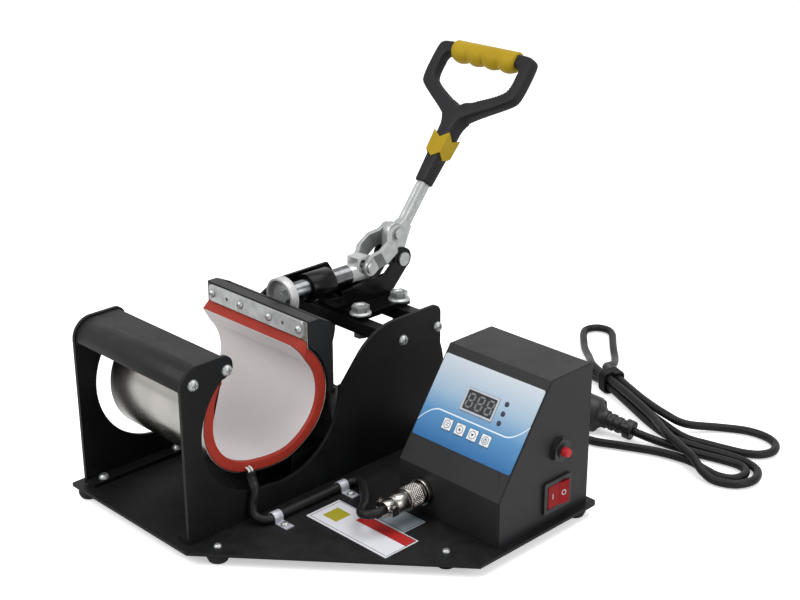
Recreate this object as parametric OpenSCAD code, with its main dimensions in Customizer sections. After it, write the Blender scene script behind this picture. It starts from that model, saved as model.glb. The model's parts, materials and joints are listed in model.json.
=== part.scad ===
// Bench mug heat press: swing handle, straight line toggle clamp, wrap heater, sloped control box.
// Millimetres. X to the operator's right, Y to the back, Z up, floor at Z = 0.

/* [Base] */
// Width of the base sheet
base_w = 310; // [280:340]
// Depth of the base sheet
base_d = 271; // [250:300]
// Thickness of the base sheet
base_t = 2.5; // [2:0.5:4]
// Length of the straight front edge before the cut corner
front_edge = 148; // [120:180]
// Where the right edge starts behind the cut corner
right_edge = 138; // [110:160]
// Height of the rubber feet
foot_h = 8.5; // [6:0.5:14]
// Diameter of the rubber feet
foot_d = 17; // [12:24]

/* [Stand] */
// Sheet thickness of the two side plates
plate_t = 3; // [2:0.5:4]
// Outer face of the left plate from the base's left edge
stand_x = 6.5; // [4:0.5:12]
// Width over both side plates
stand_w = 135.5; // [130:145]
// Width of the foot flange folded inward
flange_w = 14; // [12:18]
// Height of the front posts
post_h = 138.5; // [130:150]
// Height of the rear shoulders
rear_h = 116.5; // [110:125]
// Back edge of the side plates
plate_end = 270; // [260:270]
// Radius of the front round of the mug cut out
cut_r1 = 56; // [54:60]
// Radius of the rear round of the mug cut out
cut_r2 = 60; // [58:64]
// Side of the square cross bars
bar_s = 11; // [10:0.5:13]

/* [Heater] */
// Outer radius of the steel band round a mug
heat_r = 46.5; // [44:0.5:50]
// Thickness of the steel band
band_t = 1; // [0.8:0.1:1.5]
// Thickness of the silicone mat
mat_t = 8; // [5:0.5:9]
// Thickness of the facing sheet
face_t = 0.4; // [0.3:0.1:0.6]
// Bare silicone beside the facing's right edge
border = 3; // [2:0.5:6]
// Length of the heater along X
heat_len = 120.4; // [110:125]
// Height of the mug axis above the base
mug_z = 80; // [75:90]

/* [Clamp] */
// Height of the plunger axis above the base
axis_z = 138; // [132:144]
// Depth of the plunger rod's own axis below the pin axis
rod_drop = 4; // [2:0.5:5]
// Handle pivot from the front edge
pivot_y = 281; // [275:290]
// Crank length between handle pivot and link pin
crank = 21; // [18:24]
// Plunger pin from the front edge, clamp open
pin_y = 247; // [242:252]
// Diameter of the plunger rod
rod_d = 16; // [14:18]
// Outer diameter of the guide sleeve
sleeve_d = 24; // [22:28]
// Diameter of the pressure cup
cup_d = 32; // [26:34]
// Radial clearance of turning and sliding pins
fit = 0.05; // [0.02:0.01:0.1]
// Gap between moving parts
gap = 0.3; // [0.3:0.1:0.6]

/* [Handle] */
// Lean of the handle above the horizontal, clamp open
lean = 51.3; // [45:0.1:60]
// Thickness of the square handle bar
bar_t = 8; // [6:10]
// Outer width of the D grip
grip_w = 110; // [95:115]
// Diameter of the hand bar
grip_d = 17; // [14:20]

/* [Control box] */
// Left side of the control box
box_x = 201.2; // [195:210]
// Width of the control box
box_w = 102.2; // [95:110]
// Front face of the control box
box_y = 164; // [160:170]
// Depth of the control box
box_d = 101; // [95:105]
// Height of the upright front
box_front_h = 36.8; // [30:45]
// Height of the control box
box_h = 115.8; // [110:125]
// Front edge of the level top
box_top_y = 218.6; // [210:230]
// Sheet thickness of the control box
box_t = 1.2; // [1:0.1:2]
// Side of the square keys
key_s = 8.6; // [7:0.1:10]
// Key travel
key_travel = 0.8; // [0.5:0.1:1.5]

/* [Cables] */
// Diameter of the mains cord
cord_d = 7; // [6:0.5:8]
// Diameter of the heater cable
cable_d = 7; // [6:0.5:8]
// Wire diameter of the cord tie
tie_d = 3; // [2.4:0.2:3.6]

/* [Hidden] */
$fn = 48;
e = 0.01;
clear = 0.1;
top = foot_h + base_t;
mid = stand_x + stand_w / 2;
in_l = stand_x + plate_t;
in_r = stand_x + stand_w - plate_t;
link_l = sqrt(pow(pivot_y - pin_y, 2) + pow(crank, 2));
travel = crank + link_l - (pivot_y - pin_y);
link_lean = atan2(crank, pivot_y - pin_y);
front_c = 77.5;
rear_c = front_c + travel;
heat_x = mid - heat_len / 2;
mat_r = heat_r - band_t - 0.05;
face_r = mat_r - mat_t - 0.05;
tab_y = rear_c + 28;
front_tab = 2 * front_c + travel - tab_y - band_t;
tab_top = 137;
strip_low = 123.4;
front_drop = 3;
strip_hw = 57;
mat_end = [6.5, 5.5];
mat_top = strip_low - 1;
block_y = tab_y + band_t;
block_back = rear_c + 51;
deck_z = 26;
cheek_low = 74;
block_top = 132;
rod_z = axis_z - rod_drop;
table_side = 12.75;
table_hw = stand_w / 2 - plate_t - table_side;
table_y = [121, 216];
table_flange = 16;
clamp_y = [213, 270];
clamp_w = 65;
clamp_t = 5;
bar_y = [217.8, 261.5];
bar_end_y = [226.7, 266.2];
bar_end_z = 97;
bar_end_t = 4;
bar_top = 106;
bolt_dx = 28;
bolt_d = 6;
guard_y = [165.5, 220, 232];
guard_top = rod_z + 10;
guard_x = [-15.7, -13.2];
sleeve_y = [184, 208];
ear_in = 9;
ear_t = 4;
arm_t = 4;
tongue = 6.5;
tongue_y = 235.5;
bow = 10.8;
slot_r = 3.4;
slot_run = [6.1, 4.1];
foot_at = [[157, 22], [279, 135], [10, 9.5], [10, 258], [298, 258]];
flange_bolt_y = [20.5, 92, 176, 238];
foot_seat = 4;
cover_screw = [[18.8, 125], [49.2, 127]];
screw_d = 5;
slope = atan2(box_h - box_front_h, box_top_y - box_y);
slope_len = sqrt(pow(box_h - box_front_h, 2) + pow(box_top_y - box_y, 2));
key_u = [30.5, 43.3, 56.1, 68.9];
key_w = 37.7;
lamp_u = 73.5;
lamp_w = [68.3, 60.7, 53.2];
breaker = [box_y + 64.6, 57.8];
rocker_at = [box_y + 63.5, 21.5];
conn = [box_x + 25.8, 18.4];
box_r = box_x + box_w;
button_tip = box_r + 10.4;
grip_s = 161;
bar_root = [295, 164];
ox = button_tip / 2;
back_y = bar_root[0] + grip_s * cos(lean) + grip_d / 2;
oy = back_y / 2;

// Colours
black = [0.16, 0.165, 0.17];
zinc = [0.78, 0.79, 0.8];
chrome = [0.86, 0.87, 0.88];
steel = [0.7, 0.7, 0.7];
red = [0.72, 0.3, 0.24];
grey = [0.85, 0.84, 0.83];
rubber = [0.09, 0.09, 0.09];
charcoal = [0.27, 0.26, 0.28];
yellow = [0.8, 0.68, 0.25];

// Shared shapes

module frame() {
    translate([-ox, -oy, 0]) children();
}

module on_base() {
    translate([-ox, -oy, top]) children();
}

// Turns a drawing of (Y, Z) into a slab along X
module slab(x0, x1) {
    translate([x0, 0, 0]) rotate([90, 0, 90]) linear_extrude(x1 - x0) children();
}

module rod_x(x0, x1, y, z, d) {
    translate([x0, y, z]) rotate([0, 90, 0]) cylinder(d = d, h = x1 - x0);
}

module rod_y(y0, y1, x, z, d) {
    translate([x, y0, z]) rotate([-90, 0, 0]) cylinder(d = d, h = y1 - y0);
}

// Pan head screw, head up on Z = 0, cross recess
module pan_screw(d, head_d, head_h, len) {
    difference() {
        union() {
            cylinder(d1 = head_d, d2 = head_d * 0.86, h = head_h * 0.55);
            translate([0, 0, head_h * 0.55]) cylinder(d1 = head_d * 0.86, d2 = head_d * 0.5, h = head_h * 0.45);
            translate([0, 0, -len]) cylinder(d = d, h = len + e);
        }
        translate([-head_d * 0.28, -0.45, head_h * 0.6]) cube([head_d * 0.56, 0.9, head_h]);
        translate([-0.45, -head_d * 0.28, head_h * 0.6]) cube([0.9, head_d * 0.56, head_h]);
    }
}

module hex(af, h) {
    cylinder(d = af / cos(30), h = h, $fn = 6);
}

// Screw through a stack of the given thickness, nut below it
module bolted(d, head_d, head_h, stack, af, nut_h) {
    pan_screw(d, head_d, head_h, stack + nut_h + 0.8);
    translate([0, 0, -stack - nut_h]) hex(af, nut_h);
}

// Square with a round on chosen corners: r = [low left, low right, high right, high left]
module round_box(x0, y0, x1, y1, r) {
    difference() {
        translate([x0, y0]) square([x1 - x0, y1 - y0]);
        if (r[0] > 0) corner(x0, y0, r[0], 1, 1);
        if (r[1] > 0) corner(x1, y0, r[1], -1, 1);
        if (r[2] > 0) corner(x1, y1, r[2], -1, -1);
        if (r[3] > 0) corner(x0, y1, r[3], 1, -1);
    }
}

module corner(x, y, r, sx, sy) {
    difference() {
        translate([sx > 0 ? x - 1 : x - r, sy > 0 ? y - 1 : y - r]) square(r + 1);
        translate([x + sx * r, y + sy * r]) circle(r);
    }
}

module disc2(c, r) {
    translate(c) circle(r);
}

// Tube along a smooth route
function smooth(p, n) = let (last = len(p) - 1) concat([for (i = [0:last - 1], k = [0:n - 1])
    let (a = p[max(i - 1, 0)], b = p[i], c = p[i + 1], d = p[min(i + 2, last)], t = k / n)
    0.5 * (2 * b + (c - a) * t + (2 * a - 5 * b + 4 * c - d) * t * t + (3 * b - a - 3 * c + d) * t * t * t)],
    [p[last]]);
function unit(v) = v / norm(v);
function along(q, i) = unit(q[min(i + 1, len(q) - 1)] - q[max(i - 1, 0)]);
function side_of(t) = unit(cross(t, abs(t[2]) > 0.9 ? [1, 0, 0] : [0, 0, 1]));
module tube(route, n, r, sides) {
    q = smooth(route, n);
    m = len(q);
    pts = [for (i = [0:m - 1]) let (t = along(q, i), u = side_of(t), v = cross(u, t))
        for (k = [0:sides - 1]) q[i] + r * (cos(360 * k / sides) * u + sin(360 * k / sides) * v)];
    skin = [for (i = [0:m - 2], k = [0:sides - 1]) let (j = (k + 1) % sides)
        [i * sides + k, i * sides + j, (i + 1) * sides + j, (i + 1) * sides + k]];
    ends = [[for (k = [sides - 1:-1:0]) k], [for (k = [0:sides - 1]) (m - 1) * sides + k]];
    polyhedron(pts, concat(skin, ends), 6);
}

// Base

module base_outline() {
    difference() {
        polygon([[0, 0], [front_edge, 0], [base_w, right_edge], [base_w, base_d], [0, base_d]]);
        corner(0, 0, 1.5, 1, 1);
        corner(0, base_d, 5, 1, -1);
        corner(base_w, base_d, 5, -1, -1);
    }
}

module base_plate() color(black) frame() translate([0, 0, foot_h]) linear_extrude(base_t) difference() {
    base_outline();
    for (p = foot_at) disc2(p, 2 + clear);
    for (y = flange_bolt_y, s = [-1, 1]) disc2([mid + s * flange_dx(), y], 2.5 + clear);
    for (p = table_at()) disc2(p, 2 + clear);
    for (p = clip_at) disc2([p[0] + clip_tab, p[1]], 1.75 + clear);
    for (p = box_foot()) disc2(p, 2 + clear);
}

function flange_dx() = stand_w / 2 - plate_t - 5.4;

module rubber_feet() color(rubber) frame() for (p = foot_at) translate([p[0], p[1], 0]) difference() {
    union() {
        cylinder(d1 = foot_d - 3, d2 = foot_d, h = foot_h * 0.4);
        translate([0, 0, foot_h * 0.4]) cylinder(d = foot_d, h = foot_h * 0.6);
    }
    translate([0, 0, -1]) cylinder(d = 4 + 2 * clear, h = foot_h + 2);
    translate([0, 0, -1]) cylinder(d = 9, h = foot_seat + 1);
}

// Every screw that goes through the base sheet
module base_screws() color(zinc) on_base() {
    for (i = [0, 1]) translate([foot_at[i][0], foot_at[i][1], 0])
        bolted(4, 6.2, 2.1, top - foot_seat, 7, 2.4);
    for (i = [2:4]) translate([foot_at[i][0], foot_at[i][1], foot_seat - top]) rotate([180, 0, 0])
        pan_screw(4, 7.5, 2.4, top - foot_seat - 0.2);
    for (y = flange_bolt_y, s = [-1, 1]) translate([mid + s * flange_dx(), y, plate_t])
        pan_screw(screw_d, 9, 3, plate_t + base_t + 0.8);
    for (p = table_at()) translate([p[0], p[1], 2]) bolted(4, 7.5, 2.4, 2 + base_t, 7, 3.2);
    for (p = box_foot()) translate([p[0], p[1], box_t]) bolted(4, 7.5, 2.4, box_t + base_t, 7, 3.2);
    for (p = clip_at) translate([p[0] + clip_tab, p[1], 1]) bolted(3.5, 6.6, 2.2, 1 + base_t, 6, 2.8);
}

// Two blank plates stuck on the base in front of the box
module base_stickers() color([0.9, 0.9, 0.9]) on_base() {
    translate([169, 97, 0]) cube([86, 33.8, 0.3]);
    translate([211, 131.2, 0]) cube([28, 23, 0.3]);
}

// Stand

module side_profile() {
    difference() {
        union() {
            round_box(8, 0, 55, post_h, [0, 0, 8, 17]);
            translate([8, 0]) square([211, mug_z - 1]);
            disc2([219, rear_h - 54.7], 54.7);
            round_box(219, 0, plate_end, rear_h, [0, 0, 8, 0]);
            polygon([[158.3, 70], [158.3, 76], [177.5, 97.4], [190, 60]]);
        }
        disc2([80, mug_z - 3], cut_r1);
        disc2([98.5, mug_z - 1], cut_r2);
        translate([80, 20.5]) square([18.5, post_h]);
        for (p = cover_screw) disc2(p, screw_d / 2 + clear);
        for (y = bar_end_y) disc2([y, bar_end_z], screw_d / 2 + clear);
    }
}

module side_plate(x0, flange_x) {
    difference() {
        union() {
            slab(x0, x0 + plate_t) side_profile();
            translate([flange_x, 8, 0]) cube([flange_w, plate_end - 16, plate_t]);
        }
        for (y = flange_bolt_y, s = [-1, 1]) translate([mid + s * flange_dx(), y, -1])
            cylinder(d = screw_d + 2 * clear, h = plate_t + 2);
    }
}

module side_plate_left() color(black) on_base() side_plate(stand_x, stand_x);
module side_plate_right() color(black) on_base() side_plate(in_r, in_r + plate_t - flange_w);

// Closed outline of the cover's hood, grown inward by the given amount
module hood(inset) {
    round_box(9 + inset, 121 - 2 * inset, front_tab + 2 * inset, post_h - 1.5 - inset, [0, 0, 0, 16 - inset]);
}

module front_cover() color(black) on_base() {
    sheet = 1.5;
    x0 = in_l + clear;
    x1 = in_r - clear;
    difference() {
        union() {
            slab(x0 + sheet / 2, x1 - sheet / 2) difference() {
                hood(0);
                hood(sheet);
            }
            slab(x0 + 6, x1 - 6) translate([front_tab - sheet, 121]) square([sheet, post_h - 2 - 121]);
            for (x = [x0, x1 - sheet]) slab(x, x + sheet)
                round_box(9, 119, 54, post_h - 1.5, [0, 6, 6, 16]);
        }
        for (p = cover_screw, x = [x0, x1 - sheet]) rod_x(x - 1, x + sheet + 1, p[0], p[1], screw_d + 2 * clear);
        for (x = strip_screw_x()) rod_y(front_tab - 3, front_tab + 1, x, strip_z() - front_drop, 3.5 + 2 * clear);
    }
}

// Every screw through the two side plates
module plate_screws() color(zinc) on_base() for (s = [-1, 1]) {
    for (p = cover_screw) translate([mid + s * stand_w / 2, p[0], p[1]]) rotate([0, s * 90, 0]) {
        pan_screw(screw_d, 9, 3.2, plate_t + clear + 4.3);
        translate([0, 0, -plate_t - clear - 4.3]) hex(8, 2.8);
    }
    for (y = bar_end_y) translate([mid + s * stand_w / 2, y, bar_end_z]) rotate([0, s * 90, 0])
        pan_screw(screw_d, 9, 3.2, plate_t + bar_end_t + 1.2);
}

// Square bar with a plate across each end, which takes the side plate's screw
module cross_bar(y, screw_y) {
    end_low = bar_end_z - screw_d - 1;
    end_back = max(y + bar_s / 2, screw_y + screw_d / 2 + 1);
    difference() {
        union() {
            translate([in_l, y - bar_s / 2, bar_top - bar_s]) cube([in_r - in_l, bar_s, bar_s]);
            for (x = [in_l, in_r - bar_end_t]) translate([x, y - bar_s / 2, end_low])
                cube([bar_end_t, end_back - y + bar_s / 2, bar_top - end_low]);
        }
        rod_x(in_l - 1, in_l + bar_end_t + 3, screw_y, bar_end_z, screw_d + 2 * clear);
        rod_x(in_r - bar_end_t - 3, in_r + 1, screw_y, bar_end_z, screw_d + 2 * clear);
        for (s = [-1, 1]) translate([mid + s * bolt_dx, y, bar_top - bar_s - 1])
            cylinder(d = bolt_d + 2 * clear, h = bar_s + 2);
    }
}

module cross_bar_front() color(black) on_base() cross_bar(bar_y[0], bar_end_y[0]);
module cross_bar_rear() color(black) on_base() cross_bar(bar_y[1], bar_end_y[1]);

// Slide table under the press block

function table_at() = [for (s = [-1, 1], y = [table_y[0] + 28, table_y[1] - 11])
    [mid + s * (table_hw - table_flange / 2), y]];

module slide_table() color(black) on_base() difference() {
    union() {
        for (s = [-1, 1]) slab(mid + s * (table_hw - 1) - 1, mid + s * (table_hw - 1) + 1)
            translate([table_y[0], 0]) square([table_y[1] - table_y[0], deck_z]);
        translate([mid - table_hw, table_y[0], deck_z - 2]) cube([2 * table_hw, table_y[1] - table_y[0], 2]);
        for (s = [-1, 1]) translate([s > 0 ? mid + table_hw - table_flange : mid - table_hw, table_y[0], 0])
            cube([table_flange, table_y[1] - table_y[0], 2]);
        translate([mid - table_hw, table_y[1] - 2, 0]) cube([2 * table_hw, 2, deck_z]);
    }
    for (s = [-1, 1]) translate([mid + s * 35, 196 - travel - 1, deck_z - 3]) {
        translate([-3 - gap, 0, 0]) cube([6 + 2 * gap, travel + 1, 4]);
        translate([0, travel + 1, 0]) cylinder(d = 6 + 2 * gap, h = 4);
        cylinder(d = 6 + 2 * gap, h = 4);
    }
    for (p = table_at()) translate([p[0], p[1], -1]) cylinder(d = 4 + 2 * clear, h = 4);
}

// Toggle clamp frame

module ear_profile() {
    difference() {
        union() {
            polygon([[212, 110], [212, 126.5], [262, 129.3], [271.6, axis_z - 1], [pivot_y, axis_z],
                [289.5, 133.8], [266, 110]]);
            disc2([pivot_y, axis_z], 9.5);
        }
        disc2([pivot_y, axis_z], 4 + fit);
    }
}

module clamp_body() color(black) on_base() difference() {
    union() {
        translate([mid - clamp_w / 2, clamp_y[0], bar_top]) cube([clamp_w, clamp_y[1] - clamp_y[0], clamp_t]);
        for (s = [-1, 1]) slab(mid + s * (ear_in + ear_t / 2) - ear_t / 2, mid + s * (ear_in + ear_t / 2) + ear_t / 2)
            ear_profile();
        rod_y(sleeve_y[0], sleeve_y[1], mid, rod_z, sleeve_d);
        slab(mid - ear_in - ear_t, mid + ear_in + ear_t)
            polygon([[sleeve_y[0] + 6, rod_z - 8], [sleeve_y[1], rod_z - 10.5], [clamp_y[0] + 1, rod_z - 12],
                [clamp_y[0] + 19, bar_top + clamp_t], [clamp_y[0] + 19, bar_top + 1], [clamp_y[0], bar_top + 1]]);
        slab(mid + guard_x[0], mid + guard_x[1])
            polygon([[guard_y[0], rod_z - 4], [guard_y[0], guard_top], [guard_y[1], guard_top],
                [guard_y[2], bar_top + 20], [clamp_y[0] + 19, bar_top + 1], [clamp_y[0], bar_top + 1],
                [sleeve_y[0] + 6, rod_z - 8]]);
        translate([mid + guard_x[0] + 1, sleeve_y[0] + 1, rod_z - 4])
            cube([5, sleeve_y[1] - sleeve_y[0] - 2, 8]);
    }
    rod_y(sleeve_y[0] - 1, sleeve_y[1] + 30, mid, rod_z, rod_d + 2 * fit);
    for (y = bar_y, s = [-1, 1]) translate([mid + s * bolt_dx, y, bar_top - 1])
        cylinder(d = bolt_d + 2 * clear, h = 8);
}

module clamp_bolts() color(zinc) on_base() for (y = bar_y, s = [-1, 1])
    translate([mid + s * bolt_dx, y, bar_top + clamp_t]) {
        difference() {
            union() {
                cylinder(d = 18, h = 1.2);
                translate([0, 0, 1.2]) cylinder(d1 = 18, d2 = 14.4, h = 1.2);
                translate([0, 0, 1.5]) cylinder(d = 13 / cos(30), h = 5.6, $fn = 6);
            }
            translate([0, 0, 6]) cylinder(d1 = 7, d2 = 9.4, h = 1.2);
        }
        translate([0, 0, -clamp_t - bar_s - 4.5]) cylinder(d = bolt_d, h = clamp_t + bar_s + 10.7);
        translate([0, 0, -clamp_t - bar_s - 4.2]) cylinder(d = 10 / cos(30), h = 4.2, $fn = 6);
    }

module pivot_pin() color(zinc) on_base() {
    hw = ear_in + ear_t;
    rod_x(mid - hw - 0.5, mid + hw + 0.5, pivot_y, axis_z, 8);
    for (s = [-1, 1]) {
        rod_x(mid + s * (hw + 1.1) - 1.1, mid + s * (hw + 1.1) + 1.1, pivot_y, axis_z, 11.5);
        rod_x(mid + s * 6.6 - 2.3, mid + s * 6.6 + 2.3, pivot_y, axis_z, 12);
    }
}

// Heater: a C of steel band, silicone mat and facing round the mug, open at the top

module arch(r_out, r_in, reach) {
    difference() {
        union() {
            disc2([front_c, mug_z], r_out);
            disc2([rear_c, mug_z], r_out);
            translate([front_c, mug_z - r_out]) square([travel, r_out]);
        }
        disc2([front_c, mug_z], r_in);
        disc2([rear_c, mug_z], r_in);
        translate([front_c, mug_z - r_in]) square([travel, r_in + 1]);
        translate([front_c, mug_z - 1]) square([travel, r_out + 2]);
        polygon([[front_c, mug_z], [front_c - 90 * cos(reach), mug_z + 90 * sin(reach)], [front_c, mug_z + 130]]);
        polygon([[rear_c, mug_z], [rear_c + 90 * cos(reach), mug_z + 90 * sin(reach)], [rear_c, mug_z + 130]]);
        translate([front_c, mug_z]) square([travel, 130]);
    }
}

tab_low = mug_z + sqrt(heat_r * heat_r - 28.5 * 28.5);
tab_deg = asin((tab_low - mug_z) / heat_r);

module heater_band() color(steel) on_base() difference() {
    slab(heat_x, heat_x + heat_len) union() {
        arch(heat_r, heat_r - band_t, tab_deg);
        translate([tab_y, tab_low - 0.6]) square([band_t, tab_top - tab_low + 0.6]);
        translate([front_tab, tab_low - 0.6]) square([band_t, tab_top - front_drop - tab_low + 0.6]);
    }
    for (x = strip_screw_x()) rod_y(front_tab - 1, front_tab + 3, x, strip_z() - front_drop, 3.5 + 2 * clear);
    for (x = strip_screw_x()) rod_y(tab_y - 1, tab_y + 3, x, strip_z(), 3.5 + 2 * clear);
}

module heater_mat() color(red) on_base() difference() {
    union() {
        slab(heat_x, heat_x + heat_len) arch(mat_r, mat_r - mat_t, tab_deg - 1);
        for (front = [0, 1]) slab(heat_x, heat_x + heat_len) polygon(at_end(front, [[tab_y - 0.25, tab_low - 4],
            [tab_y - 0.25, mat_top - front * front_drop], mat_lip(front), mat_inner()]));
    }
    for (front = [0, 1]) slab(heat_x - 1, heat_x + heat_len + 1) polygon(at_end(front, [[rear_c, mug_z],
        mat_inner() - 3 * unit(mat_lip(front) - mat_inner()), mat_lip(front)]));
    translate([heat_x + heat_len - 11, 66, 30]) cube([12, 8, 9]);
}

// Inner corner of the mat's slanted end, lower at the front, and where the mat's inner round runs straight on to it
function mat_lip(front) = [tab_y - 0.25 - mat_end[0], mat_top - front * front_drop - mat_end[1]];
function mat_inner() = [rear_c, mug_z] + (mat_r - mat_t - 0.02) * [cos(tab_deg - 11.3), sin(tab_deg - 11.3)];

// Points of (Y, Z) at the rear end, or mirrored at the front end
function at_end(front, points) = [for (p = points) front ? [2 * front_c + travel - p[0], p[1]] : p];

module heater_facing() color(grey) on_base() {
    x0 = heat_x + 0.6;
    x1 = heat_x + heat_len - border;
    slab(x0, x1) arch(face_r, face_r - face_t, tab_deg - 11);
    for (front = [0, 1]) {
        way = unit(mat_lip(front) - mat_inner());
        out = [-way[1], way[0]];
        start = mat_inner() + 0.05 * out - 0.5 * way;
        stop = mat_lip(front) + 0.05 * out;
        slab(x0, x1) polygon(at_end(front, [start, stop, stop + face_t * out, start + face_t * out]));
    }
}

function strip_screw_x() = [for (i = [-1.5:1:1.5]) mid + i * 35];
function strip_z() = (strip_low + tab_top) / 2;

module strip(y0) {
    difference() {
        translate([mid, y0 + 2, strip_z()]) rotate([90, 0, 0]) linear_extrude(2)
            round_box(-strip_hw, -(tab_top - strip_low) / 2, strip_hw, (tab_top - strip_low) / 2, [3, 3, 3, 3]);
        for (x = strip_screw_x()) rod_y(y0 - 1, y0 + 3, x, strip_z(), 3.5 + 2 * clear);
        for (s = [-1, 1]) rod_y(y0 - 1, y0 + 3, mid + s * 34, strip_z(), 3);
    }
}

module front_strip() color(zinc) on_base() translate([0, 0, -front_drop]) strip(front_tab + band_t);

module front_strip_screws() color(zinc) on_base() for (x = strip_screw_x())
    translate([x, front_tab + band_t + 2, strip_z() - front_drop]) rotate([-90, 0, 0]) {
        bolted(3.5, 7, 2.4, 3.5 + band_t, 6, 2.8);
    }

// Patch and two bare leads where the cable joins the mat
module heater_lead() color([0.62, 0.25, 0.2]) on_base() {
    translate([heat_x + heat_len - 10.8, 66.2, lead_z - 0.9]) cube([10.2, 7.6, 1.7]);
    for (y = [68.4, 71.6]) rod_x(heat_x + heat_len - 1, cable_route[0][0] - 0.1, y, lead_z, 1.5);
}

// Heater cable, held all the way by the lead patch, two clips and the connector

clip_at = [[158.5, 76], [158.5, 143]];
clip_tab = 10.5;
cable_lift = cable_d / 2 + 0.15;
lead_z = 36.9;
cable_route = [[137.4, 70, lead_z], [142.5, 70, lead_z], [145.9, 68.6, 33.5], [146.4, 66, 25], [146.4, 64.5, 14],
    [149, 63, 7], [155, 65, 4.2], [158.4, 70, cable_lift], [158.5, 75, cable_lift], [158.5, 81, cable_lift],
    [158.5, 110, cable_lift], [158.5, 137.5, cable_lift], [158.5, 143, cable_lift], [158.6, 148.5, cable_lift],
    [159.6, 153.2, 4], [163.4, 156, 4.6], [168.7, 154.8, 5.4], [174.5, 151, 6.2], [181, 145.5, 7.2],
    [190.5, 137.5, 9], [199, 129.4, 11], [205, 122.5, 12.8], [211, 114.5, 14.6], [217.5, 109.5, 16.4],
    [224, 110.5, 17.8], [conn[0], box_y - 48, conn[1]], [conn[0], box_y - 41, conn[1]], [conn[0], box_y - 33, conn[1]]];

module heater_cable() color(rubber) on_base() tube(cable_route, 3, cable_d / 2, 10);

module cable_clips() color(zinc) on_base() for (p = clip_at) translate([p[0], p[1], 0]) {
    r = cable_d / 2 + 0.15;
    difference() {
        translate([0, 4, 0]) rotate([90, 0, 0]) linear_extrude(8) difference() {
            union() {
                disc2([0, cable_lift], r + 1);
                translate([-r - 1, 0]) square([2 * r + 2, cable_lift]);
                translate([-r - 6, 0]) square([clip_tab + r + 12, 1]);
            }
            disc2([0, cable_lift], r);
            translate([-r, -1]) square([2 * r, cable_lift + 1]);
        }
        translate([clip_tab, 0, -1]) cylinder(d = 3.5 + 2 * clear, h = 4);
    }
}

// Round metal connector on the box front, axis along Y, profiles measured from that face

module conn_turn() {
    translate([conn[0], box_y, conn[1]]) rotate([-90, 0, 0]) rotate_extrude() children();
}

module plug_clamp() color(zinc) on_base() difference() {
    union() {
        conn_turn() polygon([[cable_d / 2 + 0.15, -42.1], [6.3, -42.1], [6.3, -33], [cable_d / 2 + 0.15, -33]]);
        for (s = [-1, 1]) translate([conn[0] + s * 7.2 - 1.6, box_y - 40.8, conn[1] - 3.6]) cube([3.2, 6.4, 7.2]);
        for (s = [-1, 1]) translate([conn[0] + s * 7.2, box_y - 37.6, conn[1] + 3.6]) cylinder(d = 3.2, h = 1.6);
    }
    translate([conn[0] - 12, box_y - 43, conn[1] - 0.3]) cube([24, 9, 0.6]);
}

module plug_shell() color(chrome) on_base()
    conn_turn() polygon([[3, -33], [6.6, -33], [7.8, -30], [7.8, -20.6], [5.4, -20.6], [5.4, -7], [3, -7]]);

module coupling_nut() color(chrome) on_base() difference() {
    conn_turn() polygon([[7, -20.1], [9.4, -20.1], [9.4, -6], [8.2, -6], [8.2, -17.8], [7, -17.8]]);
    for (i = [0:23]) translate([conn[0], box_y - 19.1, conn[1]]) rotate([0, i * 15, 0]) translate([9.2, 0, -0.5])
        cube([1, 9, 1]);
}

module socket() color(chrome) on_base()
    conn_turn() polygon([[5.5, -16.5], [7.8, -16.5], [7.8, -4.5], [10.5, -4.5], [10.5, 0], [7.8, 0],
        [7.8, 12], [0, 12], [0, -6], [5.5, -6]]);

// Control box

module box_outline(inset) {
    k = inset * tan((90 - slope) / 2);
    j = inset * tan(slope / 2);
    polygon([[box_y + inset, 0], [box_y + inset, box_front_h - k], [box_top_y + j, box_h - inset],
        [box_y + box_d, box_h - inset], [box_y + box_d, 0]]);
}

// Moves to the left end of the slope, X right, Y up the slope, Z out of it
module on_slope() {
    translate([box_x, box_y, box_front_h]) rotate([slope, 0, 0]) children();
}

module panel_holes() {
    translate([34.7, 51.5]) square([32.1, 18.7]);
    for (w = lamp_w) disc2([lamp_u, w], 2 + clear);
    for (u = key_u) translate([u - key_s / 2 - gap, key_w - key_s / 2 - gap]) square(key_s + 2 * gap);
}

module box_shell() color(black) on_base() difference() {
    slab(box_x + box_t, box_r - box_t) difference() {
        box_outline(0);
        box_outline(box_t);
    }
    on_slope() translate([0, 0, -3]) linear_extrude(6) panel_holes();
    translate([conn[0], box_y - 1, conn[1]]) rotate([-90, 0, 0]) cylinder(d = 15.6 + 2 * clear, h = 5);
}

module box_tray() color(black) on_base() difference() {
    union() {
        for (x = [box_x, box_r - box_t]) slab(x, x + box_t) box_outline(0.5);
        translate([box_x, box_y + box_t + 0.2, 0]) cube([box_w, box_d - box_t - 0.2, box_t]);
        translate([box_x, box_y + box_d - box_t, 0]) cube([box_w, box_t, box_h - 1.4]);
    }
    translate([box_r - 3, rocker_at[0] - 13.6, rocker_at[1] - 11.1]) cube([6, 27.2, 22.2]);
    rod_x(box_r - 3, box_r + 3, breaker[0], breaker[1], 12 + 2 * clear);
    rod_y(box_y + box_d - 3, box_y + box_d + 3, gland_x, gland_z, 12 + 2 * clear);
    for (i = [0:5]) translate([box_x - 1, box_y + 32 + i * 10, 24]) cube([4, 4, 40]);
    for (p = box_foot()) translate([p[0], p[1], -1]) cylinder(d = 4 + 2 * clear, h = 4);
}

function box_foot() = [for (x = [box_x + 12, box_r - 12], y = [box_y + 24, box_y + box_d - 26]) [x, y]];

module panel_label() color([0.55, 0.72, 0.88]) on_base() on_slope() linear_extrude(0.4) difference() {
    round_box(1.7, 21.4, box_w - 1.7, 88, [2, 2, 2, 2]);
    panel_holes();
}

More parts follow.
